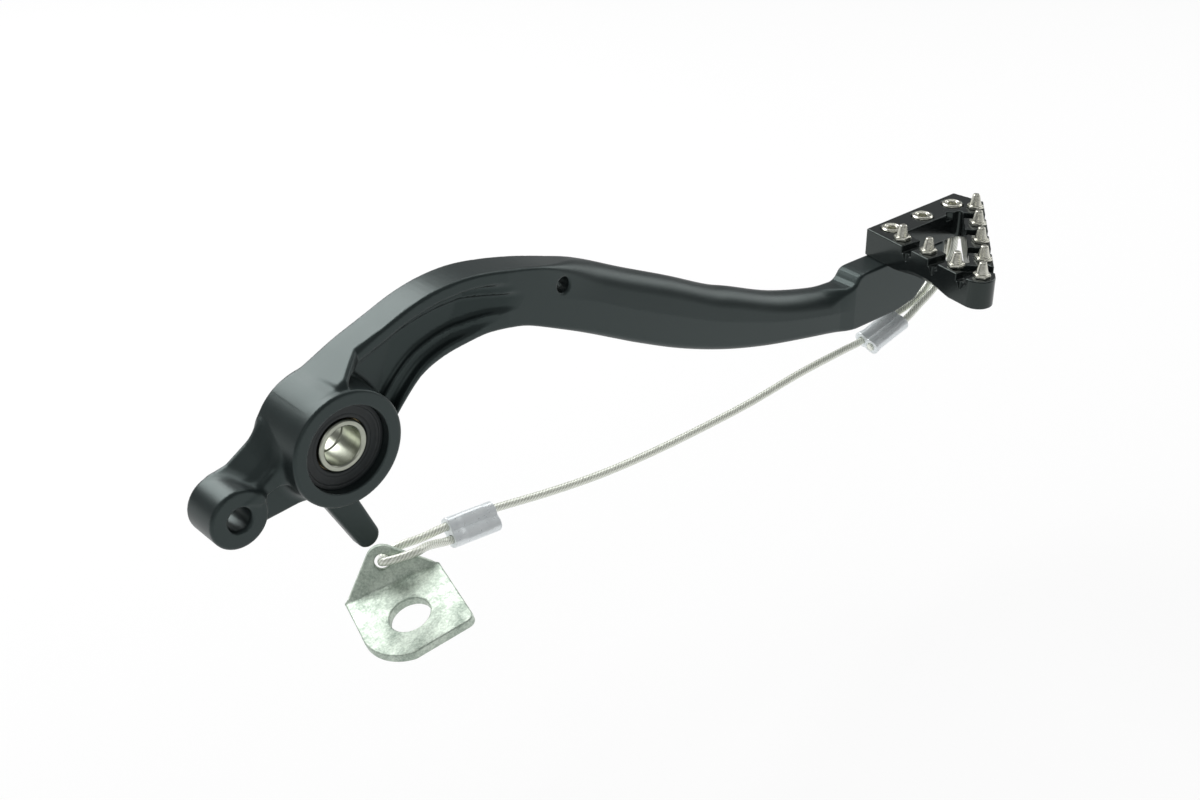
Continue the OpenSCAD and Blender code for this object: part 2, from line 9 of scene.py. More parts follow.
import bpy
import numpy as np
from mathutils import Euler, Matrix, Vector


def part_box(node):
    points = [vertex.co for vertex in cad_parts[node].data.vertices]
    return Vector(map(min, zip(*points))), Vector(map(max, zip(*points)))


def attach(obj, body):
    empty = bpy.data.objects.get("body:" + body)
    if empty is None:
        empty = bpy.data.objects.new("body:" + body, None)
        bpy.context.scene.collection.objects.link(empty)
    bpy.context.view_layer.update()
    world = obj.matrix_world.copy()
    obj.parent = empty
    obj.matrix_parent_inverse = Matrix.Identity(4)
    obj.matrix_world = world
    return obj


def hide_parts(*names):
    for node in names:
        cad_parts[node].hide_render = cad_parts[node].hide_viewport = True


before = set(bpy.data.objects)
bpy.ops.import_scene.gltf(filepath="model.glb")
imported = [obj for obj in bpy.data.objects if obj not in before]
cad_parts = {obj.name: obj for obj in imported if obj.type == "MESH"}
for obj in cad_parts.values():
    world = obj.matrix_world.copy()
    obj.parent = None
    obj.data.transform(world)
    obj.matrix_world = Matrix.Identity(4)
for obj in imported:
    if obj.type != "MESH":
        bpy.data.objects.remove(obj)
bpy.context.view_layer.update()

log = logging.getLogger("pedal")
MM = 0.001
COARSE = 1.0
Array = np.ndarray
Field = Callable[[Array, Array, Array], Array]
Material, Object, Tree = bpy.types.Material, bpy.types.Object, bpy.types.NodeTree


class Body(Enum):
    """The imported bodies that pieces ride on."""

    PEDAL = "pedal"
    COLLAR = "pivot_collar"
    BRACKET = "bracket"


# ---- distances and outlines


def round_cut(a: Array, b: Array, r: float | Array) -> Array:
    """Common part of two shapes given as signed distances, its edge rounded to radius r.

    Formula: the length of the two distances once each is raised by r and kept above zero, less r; deep inside, the
    larger distance.
    """
    ua, ub = np.maximum(a + r, 0), np.maximum(b + r, 0)
    return np.minimum(np.maximum(a, b), -r) + np.hypot(ua, ub)


def round_join(a: Array, b: Array, r: float | Array) -> Array:
    """Union of two shapes given as signed distances, its inner corner filled to radius r (the mirror of round_cut)."""
    return -round_cut(-a, -b, r)


def polygon_distance(points: Sequence[Sequence[float]], x: Array, z: Array) -> Array:
    """Signed distance from points to a closed outline, negative inside.

    Formula: the least distance to any edge, its sign set by how often a ray to the right crosses the outline.

    Args:
        points: the outline's corners in order.
        x: first coordinate of the points to measure.
        z: second coordinate, of a shape that goes with x.

    Returns:
        The distances.
    """
    shape = np.broadcast(x, z).shape
    best = np.full(shape, 1e18)
    inside = np.zeros(shape, bool)
    ring = np.asarray(points, float)
    for (ax, az), (bx, bz) in zip(ring, np.roll(ring, -1, axis=0)):
        ex, ez = bx - ax, bz - az
        t = np.clip(((x - ax) * ex + (z - az) * ez) / max(ex * ex + ez * ez, 1e-12), 0, 1)
        best = np.minimum(best, (x - ax - t * ex) ** 2 + (z - az - t * ez) ** 2)
        if ez != 0:
            inside ^= ((az > z) != (bz > z)) & (x < ax + (z - az) * ex / ez)
    return np.where(inside, -1.0, 1.0) * np.sqrt(best)


def catmull(p: Array, i: int, t: Array) -> Array:
    """Points on the smooth curve through the stations p, between stations i and i + 1, at the shares t."""
    n = len(p) - 1
    a, b, c, d = (p[min(max(k, 0), n)] for k in (i - 1, i, i + 1, i + 2))
    t = np.asarray(t)[:, None]
    return 0.5 * (2 * b + (c - a) * t + (2 * a - 5 * b + 4 * c - d) * t * t + (3 * b - a - 3 * c + d) * t**3)


def smooth_line(p: Array, counts: Sequence[int]) -> Array:
    """The smooth curve through all stations, with counts[i] points from station i on, and the last station."""
    parts = [catmull(p, i, np.arange(n) / n) for i, n in enumerate(counts)]
    return np.vstack([*parts, p[-1:]])


def ramp(x: Array, low: float, high: float) -> Array:
    """0 below low, 1 above high and a smooth S between them."""
    t = np.clip((x - low) / (high - low), 0, 1)
    return t * t * (3 - 2 * t)


def slab(y: Array, faces: Sequence[float]) -> Array:
    """Signed distance of the space between two parallel faces."""
    return np.maximum(faces[0] - y, y - faces[1])


def unit(v: Sequence[float] | Array) -> Array:
    """Vectors divided by their lengths."""
    return np.asarray(v, float) / np.maximum(np.linalg.norm(v, axis=-1, keepdims=True), 1e-12)


def between_stops(x: Array, stops: Sequence[Sequence[float]]) -> Array:
    """Values at x on straight runs between stops, which are pairs of a place and a value."""
    return np.interp(x, *np.transpose(stops))


def arc(centre: Sequence[float], radius: float, degrees: Sequence[float]) -> Array:
    """Points of a circle in a plane, at angles in degrees."""
    a = np.radians(degrees)
    return np.stack([centre[0] + radius * np.cos(a), centre[1] + radius * np.sin(a)], axis=1)


def from_edge(x: Array, y: Array, start: Sequence[float], way: Sequence[float]) -> tuple[Array, Array]:
    """Distances along an edge from its start, and square to it, positive on its left."""
    dx, dy = x - start[0], y - start[1]
    return dx * way[0] + dy * way[1], dy * way[0] - dx * way[1]


# ---- meshes


def put_in_scene(name: str, data: bpy.types.ID) -> Object:
    """Puts a new object with this data into the scene."""
    obj = bpy.data.objects.new(name, data)
    bpy.context.scene.collection.objects.link(obj)
    return obj


def add_piece(name: str, verts: Array, faces: list, body: Body, slot: str, skin: Material,
              replaces: Sequence[str] = (), normals: Array | None = None, uv: Array | None = None) -> Object:
    """Makes one finished object from points in millimetres, smooth shaded, and gives it its body and finish.

    Args:
        name: the object's name.
        verts: points in millimetres.
        faces: lists of point numbers.
        body: the body that it rides on.
        slot: not used.
        skin: its material.
        replaces: CAD nodes that it stands for.
        normals: one normal a point, or None for normals weighted by the faces' areas.
        uv: one pair a face corner, or None.

    Returns:
        The object.
    """
    mesh = bpy.data.meshes.new(name)
    mesh.from_pydata((verts * MM).tolist(), [], faces)
    mesh.update()
    mesh.polygons.foreach_set("use_smooth", np.ones(len(faces), bool))
    if normals is None:
        normals = weighted_normals(verts, faces)
    mesh.normals_split_custom_set_from_vertices(normals.tolist())
    if uv is not None:
        mesh.uv_layers.new(name="UVMap").data.foreach_set("uv", uv.astype(np.float32).ravel())
    mesh.materials.append(skin)
    obj = put_in_scene(name, mesh)
    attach(obj, body.value)
    if replaces:
        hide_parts(*replaces)
    log.info("%s: %d faces on %s", name, len(faces), body.value)
    return obj


def weighted_normals(verts: Array, faces: list) -> Array:
    """Normals at the points: the sum of the faces' cross products, so that wide faces weigh most."""
    quads = np.array([f if len(f) == 4 else [*f, f[2]] for f in faces])
    a, b, c, d = (verts[quads[:, k]] for k in range(4))
    cross = np.cross(c - a, d - b)
    flat = np.where(np.linalg.norm(cross, axis=1, keepdims=True) > 1e-12, cross, np.cross(b - a, c - a))
    total = np.zeros_like(verts)
    for k in range(4):
        np.add.at(total, quads[:, k], flat)
    return unit(total)


def grid_faces(rows: int, cols: int, closed_rows: bool) -> tuple[Array, Array]:
    """Quads over a grid of points whose columns close on themselves.

    Args:
        rows: how many rows of points there are.
        cols: how many points a row has.
        closed_rows: whether the last row joins the first.

    Returns:
        The quads, and the row and column shares of their corners for a UV map.
    """
    i, j = np.meshgrid(np.arange(rows if closed_rows else rows - 1), np.arange(cols), indexing="ij")
    i, j = i.ravel(), j.ravel()
    corners = [(i, j), (i, j + 1), (i + 1, j + 1), (i + 1, j)]
    quads = np.stack([(a % rows) * cols + b % cols for a, b in corners], axis=1)
    shares = np.stack([np.stack([b / cols, a], axis=1) for a, b in corners], axis=1)
    return quads, shares


@dataclass
class Turning:
    """A piece turned round an axis, whose section may change to a hexagon.

    The profile's points are (radius, height, hexagon share). A closed profile makes a ring; an open one starts and ends
    on the axis.
    """

    origin: Sequence[float]
    axis: Sequence[float]
    profile: Sequence[Sequence[float]]
    closed: bool = False
    fillet: float = 0.12
    around: int = 96

    def rounded(self) -> Array:
        """The profile with each corner replaced by a short curve: half-way blends of the corner and its neighbours."""
        p = np.asarray([[*q, 0.0][:3] for q in self.profile], float)
        n = len(p)
        out = []
        for k in range(n):
            if not self.closed and k in (0, n - 1):
                out.append(p[k])
                continue
            before, after = p[(k - 1) % n], p[(k + 1) % n]
            steps = [np.linalg.norm(q[:2] - p[k][:2]) for q in (before, after)]
            cut = min(self.fillet, 0.45 * min(steps))
            ends = [p[k] + (q - p[k]) * cut / s for q, s in zip((before, after), steps)]
            out += [(1 - t) ** 2 * ends[0] + 2 * t * (1 - t) * p[k] + t * t * ends[1] for t in np.linspace(0, 1, 5)]
        return np.array(out)

    def build(self) -> tuple[Array, list, Array]:
        """The surface: each profile point carried round the axis, its radius divided by the cosine of the angle from
        the nearest flat's middle where the section is a hexagon.

        Returns:
            Points, faces and UV pairs (share of a turn, millimetres along the profile).
        """
        p = self.rounded()
        z = unit(self.axis)
        x = unit(np.cross([0.0, 1.0, 0.0] if abs(z[1]) < 0.9 else [0.0, 0.0, 1.0], z))
        y = np.cross(z, x)
        turn = np.arange(self.around) * 2 * np.pi / self.around
        corner = np.mod(turn, np.pi / 3) - np.pi / 6
        radius = p[:, :1] * (1 - p[:, 2:] + p[:, 2:] / np.cos(corner))
        ring = np.cos(turn)[:, None] * x + np.sin(turn)[:, None] * y
        verts = np.asarray(self.origin) + radius[:, :, None] * ring + p[:, 1, None, None] * z
        quads, shares = grid_faces(len(p), self.around, self.closed)
        run = np.concatenate([[0], np.cumsum(np.linalg.norm(np.diff(p[:, :2], axis=0), axis=1))])
        run = np.append(run, run[-1] + np.linalg.norm(p[0, :2] - p[-1, :2]))
        shares[..., 1] = run[shares[..., 1].astype(int)]
        verts = verts.reshape(-1, 3)
        area = 0.5 * np.sum(p[:, 0] * np.roll(p[:, 1], -1) - np.roll(p[:, 0], -1) * p[:, 1])
        if area < 0:
            quads, shares = quads[:, ::-1], shares[:, ::-1]
        if self.closed:
            return verts, quads.tolist(), shares.reshape(-1, 2)
        return verts, *self.poled(quads, shares, (len(p) - 1) * self.around)

    def poled(self, quads: Array, shares: Array, last: int) -> tuple[list, Array]:
        """The faces and UV pairs once the first and the last ring are each drawn together to one point, whose quads
        become triangles; last is the last ring's first point."""
        quads = np.where(quads < self.around, 0, np.where(quads >= last, last, quads))
        kept = quads != np.roll(quads, 1, axis=1)
        faces, uv = [], []
        for part in (slice(0, self.around), slice(self.around, -self.around), slice(-self.around, None)):
            faces += quads[part][kept[part]].reshape(len(kept[part]), -1).tolist()
            uv.append(shares[part][kept[part]])
        return faces, np.concatenate(uv)

    def add(self, name: str, node: str, body: Body, slot: str, skin: Material) -> None:
        """Makes the turned object that stands for a CAD node."""
        verts, faces, uv = self.build()
        add_piece(name, verts, faces, body, slot, skin, [node], uv=uv)


def surface_net(shape: Field, low: Sequence[float], high: Sequence[float], step: float) -> tuple[Array, list, Array]:
    """The surface where a signed distance is zero.

    Formula: a grid cell that the surface passes gets one point, the mean of the crossings on its edges, moved onto the
    surface along the distance's gradient; each grid edge that the surface crosses joins its four cells by a quad.

    Args:
        shape: the signed distance in millimetres.
        low: lowest corner of the piece.
        high: highest corner of the piece.
        step: the grid's spacing.

    Returns:
        Points, quads, and normals from the gradient.
    """
    axes = [np.arange(a - 2 * step, b + 3 * step, step) for a, b in zip(low, high)]
    value = shape(axes[0][:, None, None], axes[1][None, :, None], axes[2][None, None, :])
    value = np.broadcast_to(value, [len(a) for a in axes]).astype(np.float64)
    inside = value < 0
    count = np.zeros([n - 1 for n in inside.shape], np.int8)
    corners = [(i, j, k) for i in (0, 1) for j in (0, 1) for k in (0, 1)]
    for c in corners:
        count += inside[tuple(slice(o, n - 1 + o) for o, n in zip(c, inside.shape))]
    cells = np.argwhere((count > 0) & (count < 8))
    number = np.full(count.shape, -1)
    number[tuple(cells.T)] = np.arange(len(cells))
    total, hits = np.zeros((len(cells), 3)), np.zeros(len(cells))
    for a in corners:
        for k in range(3):
            if a[k]:
                continue
            b = tuple(1 if m == k else a[m] for m in range(3))
            va, vb = value[tuple((cells + a).T)], value[tuple((cells + b).T)]
            cross = (va < 0) != (vb < 0)
            t = np.where(cross, va / np.where(cross, va - vb, 1), 0)
            total += cross[:, None] * (np.array(a) + t[:, None] * (np.arange(3) == k))
            hits += cross
    verts = (cells + total / hits[:, None]) * step + np.array([a[0] for a in axes])
    quads = []
    for k in range(3):
        u, v = (k + 1) % 3, (k + 2) % 3
        start, end = [slice(1, -1)] * 3, [slice(1, -1)] * 3
        start[k], end[k] = slice(0, -1), slice(1, None)
        a, b = inside[tuple(start)], inside[tuple(end)]
        for flip, hit in ((False, a & ~b), (True, b & ~a)):
            place = np.argwhere(hit) + [0 if m == k else 1 for m in range(3)]
            ring = []
            for du, dv in ((1, 1), (0, 1), (0, 0), (1, 0)):
                cell = place.copy()
                cell[:, u] -= du
                cell[:, v] -= dv
                ring.append(number[tuple(cell.T)])
            quad = np.stack(ring, axis=1)
            quads.append(quad[:, ::-1] if flip else quad)
    for _ in range(3):
        slope = gradient(shape, verts, 0.2 * step)
        size = np.maximum(np.sum(slope * slope, axis=1), 0.05)
        move = -shape(*verts.T)[:, None] * slope / size[:, None]
        length = np.maximum(np.linalg.norm(move, axis=1, keepdims=True), 1e-9)
        verts = verts + move * np.minimum(1, 0.6 * step / length)
    return verts, np.concatenate(quads).tolist(), unit(gradient(shape, verts, 0.05))


def gradient(shape: Field, points: Array, reach: float) -> Array:
    """The signed distance's slope at points, from its values a reach to both sides along each axis."""
    steps = np.eye(3) * reach
    return np.stack([(shape(*(points + s).T) - shape(*(points - s).T)) / (2 * reach) for s in steps], axis=1)


def add_solid(name: str, node: str, shape: Field, step: float, body: Body, slot: str,
              skin: Material) -> Object:
    """Makes the object that stands for a CAD node from its signed distance.

    Args:
        name: the object's name.
        node: the CAD node, whose box and 1 mm round it is meshed.
        shape: the signed distance in millimetres.
        step: the grid's spacing in a full run.
        body: the body that it rides on.
        slot: the record's material slot.
        skin: its material.

    Returns:
        The object.
    """
    low, high = (np.asarray(c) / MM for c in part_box(node))
    verts, quads, normals = surface_net(shape, low - 1, high + 1, step * COARSE)
    return add_piece(name, verts, quads, body, slot, skin, [node], normals)


# ---- shader maths


def math_operator(kind: str) -> Callable[["Signal", "Signal | float"], "Signal"]:
    """The operator that adds a Math node of one kind behind a signal."""
    return lambda self, other: self.math(kind, self, other)


@dataclass(frozen=True)
class Signal:
    """A node's output, on which ordinary arithmetic adds Math nodes."""

    tree: Tree
    socket: bpy.types.NodeSocket

    def math(self, operation: str, first: "Signal | float", second: "Signal | float" = 0.0, **more: bool) -> "Signal":
        """A Math node on two values, with more settings where they are given."""
        return make_node(self.tree, "ShaderNodeMath", {"operation": operation, **more}, {0: first, 1: second})

    __add__ = __radd__ = math_operator("ADD")
    __sub__ = math_operator("SUBTRACT")
    __mul__ = __rmul__ = math_operator("MULTIPLY")
    __truediv__ = math_operator("DIVIDE")

    def sine(self) -> "Signal":
        """Sine."""
        return self.math("SINE", self)

    def clipped(self) -> "Signal":
        """The value kept between 0 and 1."""
        return self.math("ADD", self, 0.0, use_clamp=True)


def make_node(tree: Tree, kind: str, settings: dict, inputs: dict, output: int | str = 0) -> Signal:
    """Adds a node, sets its settings first and then the values or links of its sockets.

    Args:
        tree: the material's tree.
        kind: the node's type.
        settings: attributes of the node.
        inputs: values or signals by the socket's name or number.
        output: the output that is wanted.

    Returns:
        That output.
    """
    node = tree.nodes.new(kind)
    for key, value in settings.items():
        setattr(node, key, value)
    for key, value in inputs.items():
        if isinstance(value, Signal):
            tree.links.new(value.socket, node.inputs[key])
        else:
            node.inputs[key].default_value = value
    return Signal(tree, node.outputs[output])


class Skin:
    """A material in the making: its shader, its coordinates and the noises that finishes share."""

    def __init__(self, name: str, constants: dict) -> None:
        """Starts a material whose shader's sockets have these constants."""
        self.material = bpy.data.materials.new(name)
        self.material.use_nodes = True
        self.tree = self.material.node_tree
        self.shader = self.tree.nodes["Principled BSDF"]
        for key, value in constants.items():
            self.shader.inputs[key].default_value = value
        self.place = self.make("ShaderNodeTexCoord", {}, {}, "Object")

    def make(self, kind: str, settings: dict, inputs: dict, output: int | str = 0) -> Signal:
        """Adds a node to this material (see make_node)."""
        return make_node(self.tree, kind, settings, inputs, output)

    def uv(self) -> Signal:
        """The piece's own UV map."""
        return self.make("ShaderNodeTexCoord", {}, {}, "UV")

    def noise(self, grain_mm: float | Sequence[float], detail: float = 3.0, rough: float = 0.55,
              place: Signal | None = None) -> Signal:
        """Noise from 0 to 1.

        Args:
            grain_mm: about how wide its lumps are, or a scale along each axis.
            detail: how many finer octaves it has.
            rough: how strong they are.
            place: the coordinates to which a scale applies, or None for Object coordinates.

        Returns:
            The noise.
        """
        vector, scale = self.place, 1.0
        if isinstance(grain_mm, Sequence):
            settings = {"operation": "MULTIPLY"}
            vector = self.make("ShaderNodeVectorMath", settings, {0: place or vector, 1: tuple(grain_mm)})
        else:
            scale = 1.0 / (grain_mm * MM)
        inputs = {"Vector": vector, "Scale": scale, "Detail": detail, "Roughness": rough}
        return self.make("ShaderNodeTexNoise", {}, inputs, 0)

    def blend(self, share: Signal, first: Sequence[float], second: Sequence[float]) -> Signal:
        """A colour between two, by a share."""
        return self.make("ShaderNodeMix", {"data_type": "RGBA"}, {0: share, 6: (*first, 1), 7: (*second, 1)}, 2)

    def stretch(self, value: Signal, low: float, high: float) -> Signal:
        """A value of 0 to 1 made steeper: 0 at low, 1 at high."""
        return ((value - low) / (high - low)).clipped()

    def feed(self, colour: Signal, roughness: Signal) -> None:
        """Links what varies over the surface to the shader."""
        for key, value in (("Base Color", colour), ("Roughness", roughness)):
            self.tree.links.new(value.socket, self.shader.inputs[key])

    def bump(self, height: Signal, depth_mm: float) -> None:
        """Raises the surface by a height of 0 to 1 times depth_mm, as bump."""
        inputs = {"Height": height, "Distance": depth_mm * MM, "Strength": 1.0}
        normal = self.make("ShaderNodeBump", {}, inputs)
        self.tree.links.new(normal.socket, self.shader.inputs["Normal"])


@dataclass(frozen=True)
class Layer:
    """One noise of a finish, and how much of it goes into the colour, the roughness and the bump.

    The grain is the lumps' size in millimetres, or a scale along each axis for lines.
    """

    grain: float | tuple
    detail: float = 3.0
    rough: float = 0.55
    colour: float = 0.0
    dull: float = 0.0
    height: float = 0.0


@dataclass(frozen=True)
class Finish:
    """A finish made of layers of noise.

    Formula: the share, the layers' sum weighted for colour and stretched from span to 0 and 1, blends the deep tone
    with the light one. Roughness is rough plus the sum weighted for it plus dull_share times the share. The bump is the
    sum weighted for height, times bump_mm.
    """

    name: str
    deep: tuple
    light: tuple
    rough: float
    bump_mm: float
    layers: tuple
    span: tuple | None = None
    dull_share: float = 0.0
    turned: bool = False
    constants: tuple = ()

    def material(self) -> Material:
        """The finish as a material, whose lines follow the piece's own UV map where it is turned."""
        skin = Skin(self.name, dict(self.constants))
        place = skin.uv() if self.turned else None
        noises = [skin.noise(layer.grain, layer.detail, layer.rough, place) for layer in self.layers]
        share, dull, height = (sum(getattr(layer, use) * n for layer, n in zip(self.layers, noises)
                                   if getattr(layer, use)) for use in ("colour", "dull", "height"))
        if self.span:
            share = skin.stretch(share, *self.span)
        if self.dull_share:
            dull = self.dull_share * share + dull
        skin.feed(skin.blend(share, self.deep, self.light), self.rough + dull)
        skin.bump(height, self.bump_mm)
        return skin.material


def turned_metal(name: str, deep: tuple, light: tuple, rough: float) -> Finish:
    """Bright metal turned on a lathe: fine grooves 0.12 mm apart along the profile."""
    layers = Layer((4.0, 1 / 0.12, 1.0), 3, 0.6, colour=0.6, dull=0.12, height=1), Layer(1.5, 3, colour=0.4)
    return Finish(name, deep, light, rough, 0.004, layers, (0.3, 0.7), turned=True, constants=(("Metallic", 1.0),))


class Look(Enum):
    """The finishes made of layers."""

    # Satin coat on the forging: fine orange peel and faint cloudiness.
    ARM = Finish("satin_black", (0.0095, 0.0135, 0.0140), (0.0135, 0.0185, 0.0190), 0.3, 0.012,
                 (Layer(9.0, 3, colour=1, dull=0.08), Layer(0.5, 2, height=0.7), Layer(0.13, 2, dull=0.05, height=0.3)),
                 constants=(("Specular IOR Level", 0.5), ("Specular Tint", (0.80, 1.0, 0.97, 1.0))))
    # Black anodising on milled aluminium, with faint cutter lines.
    PLATE = Finish("gloss_black", (0.006, 0.0075, 0.008), (0.011, 0.013, 0.013), 0.14, 0.003,
                   (Layer(4.0, 2, colour=1, dull=0.04), Layer((700, 5000, 5000), 3, 0.6, dull=0.06, height=1)),
                   constants=(("Specular IOR Level", 0.5), ("Specular Tint", (0.85, 1.0, 0.95, 1.0))))
    # Stainless screws and studs, and the harder, greyer steel of the collar.
    STAINLESS = turned_metal("stainless", (0.42, 0.42, 0.36), (0.80, 0.80, 0.72), 0.2)
    COLLAR = turned_metal("bearing_steel", (0.30, 0.315, 0.265), (0.44, 0.46, 0.39), 0.24)
    # Sintered bushes with fine pores.
    BUSH = Finish("bush_bronze", (0.35, 0.27, 0.14), (0.55, 0.44, 0.26), 0.35, 0.01,
                  (Layer(0.35, 4, colour=1, dull=0.15, height=1),), (0.3, 0.7), constants=(("Metallic", 1.0),))
    # Moulded black rubber with a fine dull grain.
    SEAL = Finish("seal_rubber", (0.010, 0.0135, 0.0142), (0.020, 0.026, 0.027), 0.42, 0.01,
                  (Layer(0.2, 3, dull=0.2, height=1), Layer(2.5, 3, colour=1)),
                  constants=(("Specular IOR Level", 0.4),))
    # Zinc plate on rolled steel: pale mottling and small dull pits.
    BRACKET = Finish("mottled_zinc", (0.30, 0.37, 0.31), (0.62, 0.70, 0.61), 0.56, 0.05,
                     (Layer(4.5, 4, 0.6, colour=0.5), Layer(0.7, 4, 0.65, colour=0.5, height=1)), (0.36, 0.6), -0.14,
                     constants=(("Metallic", 0.45),))
    # Bright drawn sleeves of the ferrules: lines along the piece.
    SLEEVE = Finish("drawn_sleeve", (0.76, 0.81, 0.83), (0.85, 0.89, 0.90), 0.26, 0.004,
                    (Layer((90, 1100, 1100), 2, 0.5, colour=1), Layer(1.2, 3, dull=0.04, height=1)), (0.25, 0.75),
                    constants=(("Metallic", 0.35),))

    def material(self) -> Material:
        """This finish as a new material."""
        return self.value.material()


@dataclass(frozen=True)
class JacketedWire:
    """Twisted steel wire under a clear jacket: strands wind round the cable, finer wires wind within each strand."""

    strands: float = 7.0
    wires: float = 21.0
    pitch_mm: float = 8.0
    deep: tuple = (0.50, 0.53, 0.42)
    light: tuple = (0.93, 0.96, 0.88)

    def material(self) -> Material:
        """The finish as a material, which reads the cable's own UV map (share of a turn, millimetres along)."""
        skin = Skin("jacketed_wire", {"Metallic": 0.25, "Coat Weight": 1.0, "Coat Roughness": 0.08})
        uv, full = skin.uv(), 2 * math.pi
        turn, along = (skin.make("ShaderNodeSeparateXYZ", {}, {0: uv}, k) for k in (0, 1))
        lay = (full * self.strands) * turn + (full * self.strands / self.pitch_mm) * along
        wire = (full * self.wires) * turn - (full * self.wires / self.pitch_mm) * along
        strand = 0.5 + 0.5 * lay.sine()
        twist = 0.5 + 0.5 * wire.sine()
        dust = skin.noise(1.3, 3)
        share = skin.stretch(0.45 * strand + 0.35 * twist + 0.3 * dust, 0.2, 0.75)
        skin.feed(skin.blend(share, self.deep, self.light), 0.28 + 0.1 * dust)
        skin.bump(0.6 * strand + 0.4 * twist, 0.02)
        return skin.material


# ---- stage


def rays(tree: Tree, *kinds: str) -> Signal:
    """How many of these kinds a ray is of."""
    paths = [make_node(tree, "ShaderNodeLightPath", {}, {}, f"Is {kind} Ray") for kind in kinds]
    return sum(paths[1:], paths[0])


@dataclass
class Stage:
    """Camera, floor, world and lamps.

    The world is white for the camera and through clear surfaces, as bright as sky for everything else, and sky_dip
    darker again in reflections. Each lamp has a name, a direction, a distance and a size in metres, and a brightness.
    """

    camera_mm: tuple = (-201.9, -340.0, 228.7)
    right: tuple = (0.7549, -0.6558, 0.0)
    up: tuple = (0.3213, 0.3699, 0.8717)
    back: tuple = (-0.5717, -0.6581, 0.4900)
    lens: float = 52.65
    floor_mm: float = -120.0
    floor_size: float = 12.0
    floor_white: float = 0.86
    sky: float = 0.42
    sky_dip: float = 0.16
    lit: tuple = (0.1, 0.0, 0.0)
    lamps: tuple = (
        ("key_softbox", (-0.12, 0.72, 0.66), 0.9, 0.62, 6.2),
        ("top_softbox", (0.55, 0.25, 0.8), 1.0, 0.5, 2.2),
        ("front_softbox", (-0.75, -0.55, 0.5), 1.1, 0.5, 1.0),
        ("side_softbox", (0.88, -0.06, 0.40), 0.95, 0.42, 3.0),
    )

    def set_camera(self) -> None:
        """Puts the camera where the photograph was taken from."""
        data = bpy.data.cameras.new("camera")
        data.lens, data.sensor_width, data.sensor_fit = self.lens, 36.0, "HORIZONTAL"
        data.clip_start, data.clip_end = 0.01, 50.0
        camera = put_in_scene("camera", data)
        turn = Matrix((self.right, self.up, self.back)).transposed().to_4x4()
        camera.matrix_world = Matrix.Translation([v * MM for v in self.camera_mm]) @ turn
        bpy.context.scene.camera = camera

    def set_world(self) -> None:
        """A white surround for the camera and an even, softer one for everything else."""
        world = bpy.data.worlds.new("studio")
        bpy.context.scene.world = world
        world.use_nodes = True
        tree = world.node_tree
        seen = rays(tree, "Camera", "Transmission").clipped()
        level = self.sky + (1 - self.sky) * seen - self.sky_dip * rays(tree, "Glossy")
        tree.links.new(level.socket, tree.nodes["Background"].inputs["Strength"])
        tree.nodes["Background"].inputs["Color"].default_value = (1, 1, 1, 1)

    def set_floor(self) -> None:
        """A plain floor that is seen as white, and by the share left to its matt side keeps a soft shadow."""
        half = self.floor_size / 2
        mesh = bpy.data.meshes.new("floor")
        z = self.floor_mm * MM
        mesh.from_pydata([(-half, -half, z), (half, -half, z), (half, half, z), (-half, half, z)], [], [(0, 1, 2, 3)])
        material = bpy.data.materials.new("floor")
        material.use_nodes = True
        tree = material.node_tree
        tree.nodes.remove(tree.nodes["Principled BSDF"])
        matt = make_node(tree, "ShaderNodeBsdfDiffuse", {}, {"Color": (0.8, 0.8, 0.8, 1)})
        glow = make_node(tree, "ShaderNodeEmission", {}, {"Color": (1, 1, 1, 1), "Strength": 1.0})
        share = (self.floor_white * rays(tree, "Camera", "Glossy", "Transmission")).clipped()
        mixed = make_node(tree, "ShaderNodeMixShader", {}, {0: share, 1: matt, 2: glow})
        tree.links.new(mixed.socket, tree.nodes["Material Output"].inputs["Surface"])
        mesh.materials.append(material)
        put_in_scene("floor", mesh)

    def set_lamps(self) -> None:
        """Soft square lamps that face the part, each given its direction, distance, size and brightness."""
        centre = np.array(self.lit)
        for name, toward, distance, size, glow in self.lamps:
            data = bpy.data.lights.new(name, "AREA")
            data.shape, data.size = "SQUARE", size
            data.energy = glow * math.pi * size * size
            lamp = put_in_scene(name, data)
            z = unit(toward)
            x = unit(np.cross([0.0, 0.0, 1.0], z))
            turn = Matrix((x, np.cross(z, x), z)).transposed().to_4x4()
            lamp.matrix_world = Matrix.Translation(centre + z * distance) @ turn

    def build(self) -> None:
        """Sets the camera, the world, the floor and the lamps."""
        self.set_camera()
        self.set_world()
        self.set_floor()
        self.set_lamps()
        bpy.context.scene.view_settings.view_transform = "Standard"


# ---- cable and its fittings


